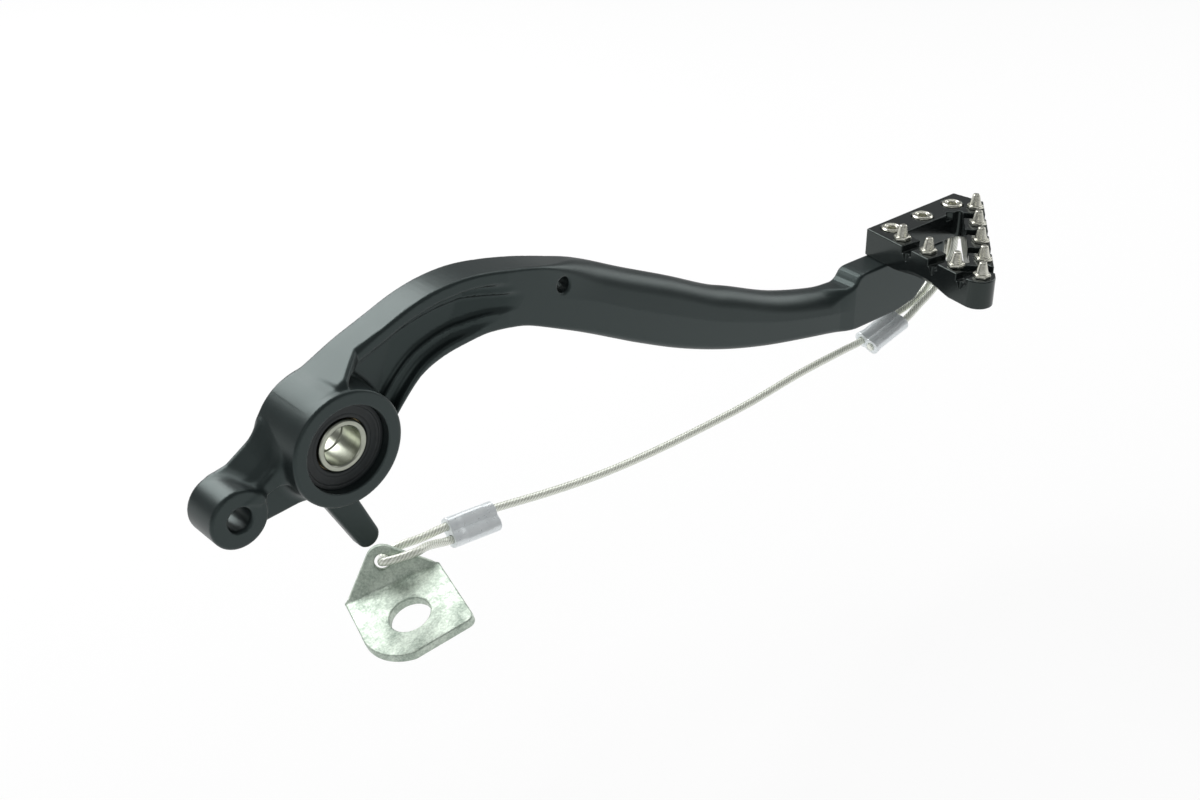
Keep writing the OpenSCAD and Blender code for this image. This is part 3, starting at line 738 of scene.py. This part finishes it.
@dataclass
class Ferrule:
    """A double-barrel sleeve pressed round both strands of the cable."""

    name: str
    end: tuple
    along: tuple
    across: tuple
    flare: float
    length: float = 16.5
    pitch: float = 4.0
    barrel: float = 2.6
    bore: float = 1.27
    pressed: float = 0.42
    pressed_from: tuple = (2.2, 5.0)
    flare_run: float = 3.4
    waist: float = 0.74
    reach: float = 5.3
    step: float = 0.22

    def axes(self) -> tuple[Array, Array, Array]:
        """Unit directions along the sleeve, from barrel to barrel, and through it."""
        a = unit(self.along)
        s = unit(np.asarray(self.across) - a * np.dot(a, self.across))
        return a, s, np.cross(a, s)

    def centre(self, distance: float, side: float) -> list[float]:
        """A point of the strands' lines: a distance along the sleeve, on one side of it."""
        along, across = np.asarray(self.along), np.asarray(self.across)
        return list(np.asarray(self.end) + along * distance + across * self.pitch / 2 * side)

    def distance(self, x: Array, y: Array, z: Array) -> Array:
        """Signed distance: two barrels and the waist between them, ends rounded, less the two bores. The waist is
        pressed in along the sleeve's middle, and the end flares by a smooth amount."""
        p = (x - self.end[0], y - self.end[1], z - self.end[2])
        a, s, w = (p[0] * v[0] + p[1] * v[1] + p[2] * v[2] for v in self.axes())
        swell = self.flare * (1 - ramp(a, 0.0, self.flare_run))
        near, far = self.pressed_from
        pressed = self.pressed * ramp(a, near, far) * ramp(self.length - a, near, far)
        half = self.pitch / 2
        barrels = np.minimum(np.hypot(s - half, w), np.hypot(s + half, w)) - self.barrel - swell
        waist = round_cut(np.abs(s) - half, np.abs(w) - self.waist * self.barrel + 0.9 * pressed + 0.8 * swell, 0.2)
        body = round_join(barrels, waist, 0.7)
        body = round_cut(body, np.abs(w) - self.barrel + pressed - swell, 0.8)
        body = round_cut(body, slab(a, (0, self.length)), 0.3)
        for side in (-half, half):
            body = round_cut(body, self.bore - np.hypot(s - side, w), 0.15)
        return body

    def build(self, skin: Material) -> Object:
        """Makes the sleeve."""
        ends = np.array([np.asarray(self.end) + self.axes()[0] * t for t in (0, self.length)])
        low, high = ends.min(0) - self.reach, ends.max(0) + self.reach
        verts, quads, normals = surface_net(self.distance, low, high, self.step * COARSE)
        return add_piece(f"{self.name}_sleeve", verts, quads, Body.PEDAL, "ferrule_metal", skin,
                         [f"cable_{self.name}"], normals)


@dataclass
class SafetyCable:
    """The coated wire cable, doubled through both ferrules."""

    upper: Ferrule
    lower: Ferrule
    diameter: float = 2.5
    length_m: float = 0.363
    around: int = 42
    spacing: float = 0.62
    strands: int = 7
    relief: float = 0.02
    relief_pitch: float = 26.0
    hook: tuple = (250.6, -1.5, -16.2)
    hook_r: float = 3.45
    ear: tuple = (17.2, 4.7, -49.7)

    def stations(self) -> Array:
        """The route's points, from one dead end to the other."""
        up, low = self.upper, self.lower
        far = up.length + 1
        bend = [[*point, self.hook[2]] for point in arc(self.hook, self.hook_r, range(-105, 106, 30))]
        run = [[198.5, -1.6, -43.9], [179, -1.4, -45.3], [156.6, -0.9, -48.3], [135.3, 0, -50.3],
               [115, 1.1, -51.7], [95.3, 1.9, -51.8], [76.3, 3.4, -51]]
        loop = [[31.3, 5.5, -48.6], [25, 7, -49.2], [20.6, 8, -50.4], [18.4, 6.6, -50.8], list(self.ear),
                [16.2, 3, -48.7], [17.3, 0.8, -47.6], [20.5, -0.8, -47], [24.7, -1.8, -46.6],
                [28.7, -0.5, -47.4], [33.5, 1.3, -49.4]]
        return np.array([
            *[up.centre(t, 1) for t in (-0.6, up.length / 2, far)],
            [234.5, -4.3, -37], [242, -4.2, -33], [247.6, -4.6, -26], [249.4, -4.9, -20], *bend,
            [249.4, 1.9, -20], [248, 1.2, -26], [242.4, -0.8, -33], [234.5, -1.3, -37],
            *[up.centre(t, -1) for t in (far, up.length / 2, -1)], *run,
            *[low.centre(t, -1) for t in (far, low.length / 2, -1)], *loop,
            *[low.centre(t, 1) for t in (-1, low.length / 2, low.length + 0.6)]], float)

    def centres(self) -> Array:
        """The tube's ring centres: the smooth curve through the stations, evenly spaced within each stretch."""
        p = self.stations()
        gaps = np.linalg.norm(np.diff(p, axis=0), axis=1)
        return smooth_line(p, [max(1, math.ceil(g / self.spacing)) for g in gaps])

    def build(self, skin: Material, fittings: list) -> Object:
        """Makes the tube: rings of radius r less a small relief times the share of the strands' wave, which winds
        round by one turn each pitch, each ring square to the route and carried on without twist."""
        p = self.centres()
        t = unit(np.gradient(p, axis=0))
        side = np.zeros_like(t)
        last = np.array([0.0, 1.0, 0.0])
        for i, way in enumerate(t):
            last = unit(last - way * np.dot(last, way))
            side[i] = last
        over = np.cross(t, side)
        run = np.concatenate([[0], np.cumsum(np.linalg.norm(np.diff(p, axis=0), axis=1))])
        turn = np.arange(self.around) * 2 * np.pi / self.around
        wave = 0.5 - 0.5 * np.cos(self.strands * (turn[None, :] + 2 * np.pi * run[:, None] / self.relief_pitch))
        radius = (self.diameter / 2 - self.relief * wave)[:, :, None]
        rings = p[:, None] + radius * (np.cos(turn)[None, :, None] * side[:, None]
                                       + np.sin(turn)[None, :, None] * over[:, None])
        quads, shares = grid_faces(len(p), self.around, False)
        shares[..., 1] = run[shares[..., 1].astype(int)]
        verts = np.concatenate([rings.reshape(-1, 3), p[:1], p[-1:]])
        here, last = np.arange(self.around), (len(p) - 1) * self.around
        there = (here + 1) % self.around
        caps = [[0 * here + len(verts) - 2, there, here], [0 * here + len(verts) - 1, last + here, last + there]]
        cap_faces = np.concatenate([np.stack(cap, axis=1) for cap in caps]).tolist()
        cap_uv = np.tile([[0.0, 0.0], [0.1, 0.0], [0.0, 0.1]], (2 * self.around, 1))
        uv = np.concatenate([shares.reshape(-1, 2), cap_uv])
        obj = add_piece("wire_cable", verts, quads.tolist() + cap_faces, Body.PEDAL, "cable_wire", skin,
                        ["safety_cable"], uv=uv)
        return obj


@dataclass
class Bracket:
    """The anchor bracket: a sheet foot with a bolt hole and an ear bent up from it."""

    at: tuple = (17.2, 4.7, -49.7)
    turns: tuple = (7.0, -18.0, -24.5)
    thick: float = 2.8
    width: float = 28.6
    foot: float = 29.5
    bolt_d: float = 11.8
    bolt_out: float = 15.2
    bolt_side: float = 1.7
    corner_r: float = 2.4
    ear_h: float = 7.4
    ear_d: float = 4.4
    ear_r: float = 4.7
    bend: float = 60.0
    bend_r: float = 3.2
    step: float = 0.34

    def turning(self) -> Array:
        """The bracket's rotation: about X, then Y, then Z."""
        return np.array(Euler([math.radians(v) for v in self.turns], "XYZ").to_matrix())

    def outline(self) -> Array:
        """The flat sheet's outline: the foot's edge round the bolt hole, its far corner, and the ear's two sides and
        round top above the bend."""
        bolt = (self.width / 2 + self.bolt_side, -self.bolt_out)
        corner = (self.width + 0.9, -self.foot + 5.2)
        hole = (self.width / 2, self.ear_h)
        opening = math.acos(self.ear_r / math.hypot(*hole))
        lean = math.atan2(-hole[1], hole[0])
        sweep = np.degrees(np.linspace(lean + opening, math.pi - lean - opening, 14))
        left = arc(bolt, self.foot - self.bolt_out, range(180, 261, 5))
        right = arc(corner, self.corner_r, range(-80, 11, 9))
        return np.vstack([(0, 0), left, right, (self.width, -1), (self.width, 0), arc(hole, self.ear_r, sweep)])

    def distance(self, x: Array, y: Array, z: Array) -> Array:
        """Signed distance: the point is unrolled onto the flat sheet (along the foot, round the bend, up the ear), and
        the sheet's outline and holes are cut with its thickness, all edges rounded."""
        angle = math.radians(self.bend)
        local = self.turning().T
        p = (x - self.at[0], y - self.at[1], z - self.at[2])
        u, v, w = (p[0] * r[0] + p[1] * r[1] + p[2] * r[2] for r in local)
        u = u + self.width / 2
        v = v + self.ear_h * math.cos(angle)
        w = w + self.ear_h * math.sin(angle)
        reach = self.bend_r * math.tan(angle / 2)
        round_at = np.arctan2(v + reach, self.bend_r - w)
        share = np.clip(round_at / angle, 0, 1)
        up = v * math.cos(angle) + w * math.sin(angle)
        off = -v * math.sin(angle) + w * math.cos(angle)
        bent = self.bend_r - np.hypot(v + reach, w - self.bend_r)
        flat = v < -reach
        eared = (round_at > angle) & ~flat & (up > 0)
        run = np.where(flat, v, np.where(eared, up, -reach + 2 * reach * share))
        depth = np.where(flat, w, np.where(eared, off, bent))
        sheet = polygon_distance(self.outline(), u, run)
        sheet = np.maximum(sheet, self.bolt_d / 2 - np.hypot(u - self.width / 2 - self.bolt_side, run + self.bolt_out))
        sheet = np.maximum(sheet, self.ear_d / 2 - np.hypot(u - self.width / 2, run - self.ear_h))
        return round_cut(sheet, np.abs(depth) - self.thick / 2, 0.4)

    def build(self, skin: Material) -> Object:
        """Makes the bracket."""
        return add_solid("bent_bracket", "anchor_bracket", self.distance, self.step, Body.BRACKET, "bracket_zinc", skin)


# ---- forging


@dataclass
class Forging:
    """The pedal's one forging: boss, eye, web, tongue, swept arm with its pocket, and the block under the plate."""

    boss_r: float = 16.35
    boss_y: tuple = (-10.8, 8.4)
    cup: tuple = (12.25, -5.8)
    rear_cup: tuple = (11.05, 5.9)
    bore_r: float = 9.21
    eye: tuple = (-29.8, -11.0)
    eye_r: float = 8.3
    eye_y: tuple = (-5.8, 6.5)
    eye_bore: float = 3.3
    web_y: tuple = (-1.9, 6.2)
    ridge_y: float = -4.9
    tongue_y: tuple = (2.9, 7.5)
    tongue_end: tuple = (12.577, -38.708)
    tongue_top: tuple = (-0.8175, -13.08)
    tongue_w: float = 7.0
    tongue_taper: float = 1.2
    tip: float = 213.2
    seat_z: float = -14.7
    block_z: float = -34.1
    block_len: float = 33.0
    face_y: float = -5.9
    back_y: float = 3.7
    root_y: float = -2.8
    lean: float = 0.223942
    edge_r: float = 0.9
    crown_r: float = 4.6
    shoulder_r: float = 1.3
    past_shoulder: tuple = (2.0, 20.0)
    past_hole: tuple = (66.0, 92.0)
    to_block: tuple = (186.0, 199.0)
    rim_gap: float = 0.4
    cone_slope: float = 0.22
    hole: tuple = (75.5, 20.578)
    hole_r: float = 2.2
    screws: tuple = (6.4, 21.9)
    screw_y: float = -1.5
    screw_r: float = 2.02
    screw_deep: float = 10.5
    pocket: float = 4.6
    pocket_x: tuple = (4.0, 67.0)
    flange_top: float = 4.0
    flange_low: float = 2.7
    shelf_up: float = 1.5
    shelf_w: float = 2.9
    trough_w: float = 2.2
    trough_y: float = 0.4
    step: float = 0.58
    top: Array = field(init=False)
    low: Array = field(init=False)

    def __post_init__(self) -> None:
        """Works out the arm's upper and lower lines, drawn for one height of their end and sheared to the block's."""
        top = [[-9.5, 12.9], [-5, 15.6], [-1, 17.1], [8, 21.4], [18, 25.6], [27.5, 29.5], [37, 31.8],
               [47.5, 32.2], [61.5, 30], [75.5, 26.4], [86.5, 22.9], [103, 15.1], [121, 6.9], [137, -0.9],
               [147, -4.8], [165.5, -12.2], [184.5, -17.3], [195.5, -18.8]]
        low = [[195.5, -33.9], [175.5, -30.3], [156.5, -26.4], [138.5, -21.4], [121, -15], [105, -7.8],
               [94.5, -2.6], [81.5, 3.9], [65.5, 11.2], [58, 13.4], [50.5, 14.2], [44.5, 13.6], [35.5, 11.6],
               [28.5, 8], [22, 1], [18, -4.7]]
        drawn_x, drawn_z = 195.5, -26.35
        fall = (self.seat_z + self.block_z) / 2 - 1.9 - drawn_z
        for name, line in (("top", top), ("low", low)):
            p = np.array(line, float)
            p[:, 1] += np.maximum(p[:, 0], 0) / drawn_x * fall
            setattr(self, name, smooth_line(p, [6] * (len(p) - 1)))

    def side_outline(self) -> Array:
        """The arm and block seen from the side."""
        end = self.tip + self.block_len
        rise = [[197.0, -18.45], [198.2, -17.7], [199.0, -16.6], [199.8, -15.6], [200.9, -15.0], [202.4, -14.74]]
        block = [*rise, [204.5, self.seat_z], [end + 1, self.seat_z],
                 [end + 1, self.seat_z - 5.2], [self.tip + 20.8, self.block_z + 6.2],
                 [self.tip + 15.8, self.block_z + 1.7], [self.tip + 7.3, self.block_z],
                 [self.tip - 13.2, self.block_z - 0.2]]
        root = [[0, -6], [-8, -2], [-11, 4], [-12, 9.2]]
        return np.vstack([self.top, block, self.low, root])

    def arm(self, x: Array, y: Array, z: Array) -> Array:
        """Signed distance of the arm: its side outline cut with a front and a back face whose places along Y are given
        along X. Where the arm is free of boss and block, the front's upper half leans back and its edge is rounder.
        A cone that widens away from the boss's rim trims the shoulder; it fades out along the arm."""
        front = between_stops(x, [(-21, -3.2), (-16.5, -7.4), (-9, -9.9), (2, -9.3), (9.5, self.root_y),
                                  (28, self.root_y - 0.9), (56, self.face_y), (192, self.face_y),
                                  (198, self.face_y - 0.55)])
        back = between_stops(x, [(10, 8.0), (25, 7.3), (56, 5.6), (86, self.back_y)])
        middle = 0.5 * (between_stops(x, self.top) + between_stops(x, self.low[::-1]))
        free = ramp(x, *self.past_hole) * (1 - ramp(x, *self.to_block))
        upper = z > middle
        outline = polygon_distance(self.side_outline(), x, z)
        face = front - y + self.lean * free * np.maximum(z - middle, 0)
        shoulder = 1 - ramp(x, *self.past_shoulder)
        radius = self.edge_r + np.where(upper, self.crown_r * free + self.shoulder_r * shoulder, self.edge_r * free)
        body = round_cut(outline, face, radius)
        body = round_cut(body, y - back, 1.2 + 0.8 * free)
        rim = self.boss_r + self.rim_gap + self.cone_slope * (y - self.boss_y[0])
        faded = 400 * ramp(x, -2, 45) + 40 * ramp(-z, -14, 2)
        body = round_cut(body, np.hypot(x, z) - rim - faded, 2.5)
        end = self.tip + self.block_len
        thick = (self.back_y - self.face_y) / 2
        nose = np.where(x > end - thick, np.hypot(x - end + thick, y - self.back_y + thick) - thick, -50)
        return np.maximum(body, nose)

    def hollow(self, x: Array, y: Array, z: Array) -> Array:
        """Signed distance of the pocket: the side outline moved in by the flanges' thickness, with a shelf round it,
        as deep as a floor line along X that rises to the face, and the trough that runs round the boss between the
        flanges."""
        near, far = self.pocket_x
        top = self.top[(self.top[:, 0] > near) & (self.top[:, 0] < far)] - [0, self.flange_top]
        low = self.low[self.low[:, 0] < far] + [0, self.flange_low]
        side = polygon_distance(np.vstack([top, low]), x, z)
        deep = self.pocket + self.root_y
        slant = 0.55 * (z - between_stops(x, self.low[::-1]) - 8)
        floor = between_stops(x - slant, [(18, deep), (41, deep - 2.2), (61, self.face_y - 0.8)])
        shelf = round_cut(side, y - floor + self.shelf_up, 1.3)
        pocket = round_join(shelf, round_cut(side + self.shelf_w, y - floor, 1.2), 0.5)
        ring = np.maximum(np.hypot(x, z) - self.boss_r - self.trough_w, side - 1.6)
        trough = round_cut(ring, y - self.trough_y, 1.2)
        return round_join(pocket, trough, 0.8)

    def distance(self, x: Array, y: Array, z: Array) -> Array:
        """Signed distance of the whole forging: arm less pocket, joined by fillets with boss, web, ridge, eye and
        tongue, less the recesses and holes. The web's and the ridge's outlines sink towards the front."""
        body = round_cut(self.arm(x, y, z), -self.hollow(x, y, z), 0.9)
        away = np.hypot(x, z)
        boss = round_cut(away - self.boss_r, slab(y, self.boss_y), 0.8)
        from_eye = np.hypot(x - self.eye[0], z - self.eye[1])
        eye = round_cut(from_eye - self.eye_r, slab(y, self.eye_y), 0.9)
        r = self.eye_r
        sunk = z + 0.45 * (self.web_y[1] - y) * ramp(z, -12, -5)
        web = polygon_distance([
            [self.eye[0], self.eye[1] - 0.9 * r], [self.eye[0] - 0.4 * r, self.eye[1]],
            [self.eye[0] - 0.1 * r, self.eye[1] + 0.9 * r], [-26, -1.6], [-20, 2.3],
            [-15.4, 5.9], [0, 0.5 * self.boss_r], [0, -0.93 * self.boss_r]], x, sunk)
        web = round_cut(web, slab(y, self.web_y), 1.5)
        ridge = polygon_distance([[-28, -2.8], [-24, -0.3], [-20, 2.3], [-15, 6.2], [-10, 3], [-16, -1.8],
                                  [-24, -6.4]], x, sunk)
        ridge = round_cut(ridge, slab(y, (self.ridge_y, self.web_y[1])), 1.2)
        web = round_join(round_join(web, ridge, 1.5), eye, 2.2)
        body = round_join(body, boss, 0.6 + 1.6 * ramp(x, 0, 8))
        body = round_join(body, web, 3.0)
        body = round_join(body, self.tongue(x, y, z), 1.6)
        recess = round_cut(away - self.cup[0], y - self.cup[1], 0.3)
        inner = round_cut(away - self.rear_cup[0], self.rear_cup[1] - y, 0.3)
        body = round_cut(body, -recess, 0.35)
        body = round_cut(body, -inner, 0.35)
        body = np.maximum(body, self.bore_r - away)
        flare = 0.5 * np.maximum(0, 0.8 + slab(y, self.eye_y))
        body = round_cut(body, self.eye_bore + flare - from_eye, 0.3)
        body = round_cut(body, self.hole_r - np.hypot(x - self.hole[0], z - self.hole[1]), 0.7)
        for sx in self.screws:
            hole = self.screw_r - np.hypot(x - self.tip - sx, y - self.screw_y)
            body = np.maximum(body, np.minimum(hole, z - self.seat_z + self.screw_deep))
        return body

    def tongue(self, x: Array, y: Array, z: Array) -> Array:
        """Signed distance of the stop tongue: a tapered bar with a round end, between its two faces."""
        (ax, az), (bx, bz) = self.tongue_top, self.tongue_end
        dx, dz = bx - ax, bz - az
        t = np.clip(((x - ax) * dx + (z - az) * dz) / (dx * dx + dz * dz), 0, 1)
        bar = np.hypot(x - ax - t * dx, z - az - t * dz) - self.tongue_w / 2 - self.tongue_taper * (1 - t)
        return round_cut(bar, slab(y, self.tongue_y), 0.9)

    def build(self, skin: Material) -> Object:
        """Makes the forging."""
        return add_solid("forged_arm", "pedal_arm", self.distance, self.step, Body.PEDAL, "arm_black", skin)


# ---- step plate and its fasteners


@dataclass
class StepPlate:
    """The milled step plate: a triangle of bars with a window, notches across the bars and a nick below each."""

    tip: float = 213.2
    tread: float = -5.3
    thick: float = 9.4
    inner_y: float = 3.7
    length: float = 45.4
    reach: float = 47.3
    nose_r: float = 5.0
    front: float = 10.7
    window: tuple = ((219.943, -6.5), (215.998, -36.88), (249.874, -6.5))
    window_r: float = 1.2
    notch_w: float = 4.2
    notch_d: float = 2.4
    nick_d: float = 2.2
    nick_r: tuple = (1.7, 1.35, 0.3)
    notches: tuple = ((19.05525, 31.28825, 43.99175), (5.13315, 19.3248, 33.51645, 47.40615))
    edge_r: float = 0.35
    bevel: float = 2.6
    bevel_in: tuple = (12.0, 24.0)
    bevel_out: tuple = (28.0, 42.0)
    screws: tuple = (219.6, 235.1, 250.6)
    screw_y: float = -1.5
    screw_top: float = -8.7
    screw_r: float = 2.02
    head_r: float = 3.8
    stud_r: float = 1.52
    stud_deep: float = 5.3
    studs: tuple = ((215.531, -9.412), (213.956, -21.543), (212.32, -34.14), (212.1, -44.4), (222.356, -36.944),
                    (233.146, -27.267), (243.488, -17.993), (253.829, -8.718))
    step: float = 0.36

    def plan(self) -> tuple[Array, Array, list]:
        """The plan's corners, its nose's centre, and the start and unit direction of the rear and the slanting edge."""
        nose = np.array([self.tip - 1.1, self.inner_y - self.reach])
        rear = np.array([self.tip, self.inner_y])
        slant = np.array([self.tip + self.length + 1.8, self.inner_y - self.front])
        corner = np.array([self.tip + self.length, self.inner_y + 0.7])
        ways = []
        for (dx, dy), side in ((nose - rear, -1), (slant - nose, 1)):
            a = math.atan2(dy, dx) + side * math.asin(self.nose_r / math.hypot(dx, dy))
            ways.append(np.array([math.cos(a), math.sin(a)]))
        turned, first = (nose + self.nose_r * np.array([way[1], -way[0]]) for way in ways)
        return np.array([rear, turned, nose, first, slant, corner]), nose, [(rear, ways[0]), (first, ways[1])]

    def distance(self, x: Array, y: Array, z: Array) -> Array:
        """Signed distance: the plan with its round nose, cut with the thickness, less the window, the notches and their
        nicks, the counterbores and the studs' holes; the rear bar's lower edges are bevelled beside the window."""
        corners, nose, edges = self.plan()
        plan = polygon_distance(corners, x, y)
        plan = np.minimum(plan, np.hypot(x - nose[0], y - nose[1]) - self.nose_r)
        bottom = self.tread - self.thick
        body = round_cut(plan, slab(z, (bottom, self.tread)), self.edge_r)
        body = round_cut(body, -self.opening(x, y), self.edge_r)
        along, inward = from_edge(x, y, *edges[0])
        bevel = self.bevel * ramp(along, *self.bevel_in) * (1 - ramp(along, *self.bevel_out))
        body = np.maximum(body, (bevel - np.abs(inward) - (z - bottom)) * math.sqrt(0.5))
        for (start, way), places in zip(edges, self.notches):
            for at in places:
                body = self.notched(body, x, y, z, start + at * way, way)
        for sx in self.screws:
            away = np.hypot(x - sx, y - self.screw_y)
            body = round_cut(body, -round_cut(away - self.head_r, self.screw_top - z, 0.1), 0.3)
            body = np.maximum(body, self.screw_r - away)
        for sx, sy in self.studs:
            hole = np.minimum(self.stud_r - np.hypot(x - sx, y - sy), z - self.tread + self.stud_deep)
            body = np.maximum(body, hole)
        return body

    def opening(self, x: Array, y: Array) -> Array:
        """Signed distance in plan of the window: the triangle of its corners' centres, grown by their radius."""
        c = np.array(self.window)
        inner = []
        for i in range(3):
            a, b = unit(c[i - 1] - c[i]), unit(c[(i + 1) % 3] - c[i])
            inner.append(c[i] + unit(a + b) * self.window_r / math.sin(0.5 * math.acos(float(a @ b))))
        return polygon_distance(inner, x, y) - self.window_r

    def notched(self, body: Array, x: Array, y: Array, z: Array, middle: Array, way: Array) -> Array:
        """The body less a notch across the bar, and less a V below it, at a place on an edge."""
        along, inward = from_edge(x, y, middle, way)
        drop = self.tread - self.notch_d - z
        sides = np.maximum(np.abs(inward - 4) - 9, drop)
        body = round_cut(body, -round_cut(np.abs(along) - self.notch_w / 2, sides, 0.35), 0.22)
        width = np.interp(drop, [-1, 0, self.nick_d], self.nick_r)
        cone = np.hypot(x - middle[0], y - middle[1]) - width
        return np.maximum(body, -np.maximum(cone * 0.85, drop - self.nick_d))

    def build(self, skin: Material) -> Object:
        """Makes the plate."""
        return add_solid("milled_plate", "step_plate", self.distance, self.step, Body.PEDAL, "plate_black", skin)

    def build_screws(self, skin: Material) -> None:
        """Makes the socket head screws: shank, bevelled head with a ring round its socket."""
        for sx, where in zip(self.screws, ("rear", "middle", "front")):
            profile = [(0, -16), (1.7, -16), (2.0, -15.6), (2.0, 0), (3.5, 0), (3.5, 3.5), (3.05, 4), (2.45, 4),
                       (2.3, 3.82), (1.9, 3.82), (1.74, 3.7, 0.0), (1.5, 3.55, 1.0), (1.5, 2.0, 1.0), (0, 1.9)]
            shape = Turning((sx, self.screw_y, self.screw_top), (0, 0, 1), profile, fillet=0.14)
            shape.add(f"socket_screw_{where}", f"plate_screw_{where}", Body.PEDAL, "stainless", skin)

    def build_studs(self, skin: Material) -> None:
        """Makes the grip studs: shank, bevelled hexagon with a round foot, and a cone with fine turned steps."""
        profile = [(0, -5), (1.3, -5), (1.5, -4.8), (1.5, 0), (2.35, 0, 1.0), (2.5, 0.15, 1.0), (2.5, 0.9, 1.0),
                   (2.42, 1.25, 0.4), (1.98, 1.32), (1.9, 1.7), (1.18, 4.7), (0.95, 4.96), (0.5, 5.0), (0, 5.0)]
        for k, (sx, sy) in enumerate(self.studs, 1):
            shape = Turning((sx, sy, self.tread), (0, 0, 1), profile, around=72)
            shape.add(f"pointed_stud_{k}", f"grip_stud_{k}", Body.PEDAL, "stainless", skin)


# ---- pivot


@dataclass
class Pivot:
    """The pivot's turned collars, its seals and its bushes."""

    collar_r: float = 7.25
    bore_r: float = 5.5
    half: float = 9.05
    start: float = -8.25
    bevel: float = 0.35
    seals: tuple = (("outer", 12.23, -8.2, -1.0), ("inner", 11.03, 5.9, 1.0))
    seal_t: float = 2.4
    seal_bore: float = 7.55

    def build_collars(self, skin: Material) -> None:
        """Makes the two halves of the collar, all four rims bevelled."""
        r, b, c = self.collar_r, self.bore_r, self.bevel
        for k, name in enumerate(("outer", "inner")):
            y0 = self.start + k * self.half
            y1 = y0 + self.half
            profile = [(b + c, y0), (r - c, y0), (r, y0 + c), (r, y1 - c), (r - c, y1), (b + c, y1), (b, y1 - c),
                       (b, y0 + c)]
            shape = Turning((0, 0, 0), (0, 1, 0), profile, closed=True)
            shape.add(f"turned_collar_{name}", f"pivot_collar_{name}", Body.COLLAR, "bearing_steel", skin)

    def build_seals(self, skin: Material) -> None:
        """Makes the seals: a ring with a raised lip at its rim and a feather edge towards the collar."""
        for name, outer, y0, way in self.seals:
            y1, inner = y0 + self.seal_t, self.seal_bore
            flat = [(outer - 0.15, 0), (outer, 0.15), (outer, self.seal_t), (inner + 0.5, self.seal_t),
                    (inner, self.seal_t - 0.4), (inner, 0.75), (inner + 0.35, 0.45), (inner + 1.0, 0.5),
                    (inner + 1.3, 0.62), (outer - 1.7, 0.62), (outer - 1.3, 0.5), (outer - 1.1, 0.05),
                    (outer - 0.9, 0)]
            profile = [(r, y0 + h if way < 0 else y1 - h) for r, h in flat]
            shape = Turning((0, 0, 0), (0, 1, 0), profile, closed=True, fillet=0.2)
            shape.add(f"lipped_seal_{name}", f"dust_seal_{name}", Body.PEDAL, "seal_rubber", skin)


def dress_cad(names: Sequence[str], skin: Material) -> None:
    """Gives CAD nodes that stay in view their finish."""
    for name in names:
        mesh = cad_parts[name].data
        mesh.materials.clear()
        mesh.materials.append(skin)
        log.info("%s keeps its CAD shape", name)


def main() -> None:
    """Builds the stage, the cable and then every other piece."""
    logging.basicConfig(level=logging.INFO, format="%(message)s")
    Stage().build()
    sleeve = Look.SLEEVE.material()
    upper = Ferrule("ferrule_upper", (209.7, -2.8, -44.3), (0.967, 0, 0.255), (0.066, -0.966, -0.25), 0.35)
    lower = Ferrule("ferrule_lower", (39.6, 3.8, -49.8), (0.998, 0, -0.066), (-0.05, -0.66, -0.749), 0.0)
    fittings = [f.build(sleeve) for f in (upper, lower)]
    SafetyCable(upper, lower).build(JacketedWire().material(), fittings)
    Forging().build(Look.ARM.material())
    plate = StepPlate()
    plate.build(Look.PLATE.material())
    plate.build_screws(Look.STAINLESS.material())
    plate.build_studs(Look.STAINLESS.material())
    pivot = Pivot()
    pivot.build_collars(Look.COLLAR.material())
    pivot.build_seals(Look.SEAL.material())
    dress_cad(("bearing_bush_outer", "bearing_bush_inner"), Look.BUSH.material())
    Bracket().build(Look.BRACKET.material())


if __name__ == "__main__":
    main()
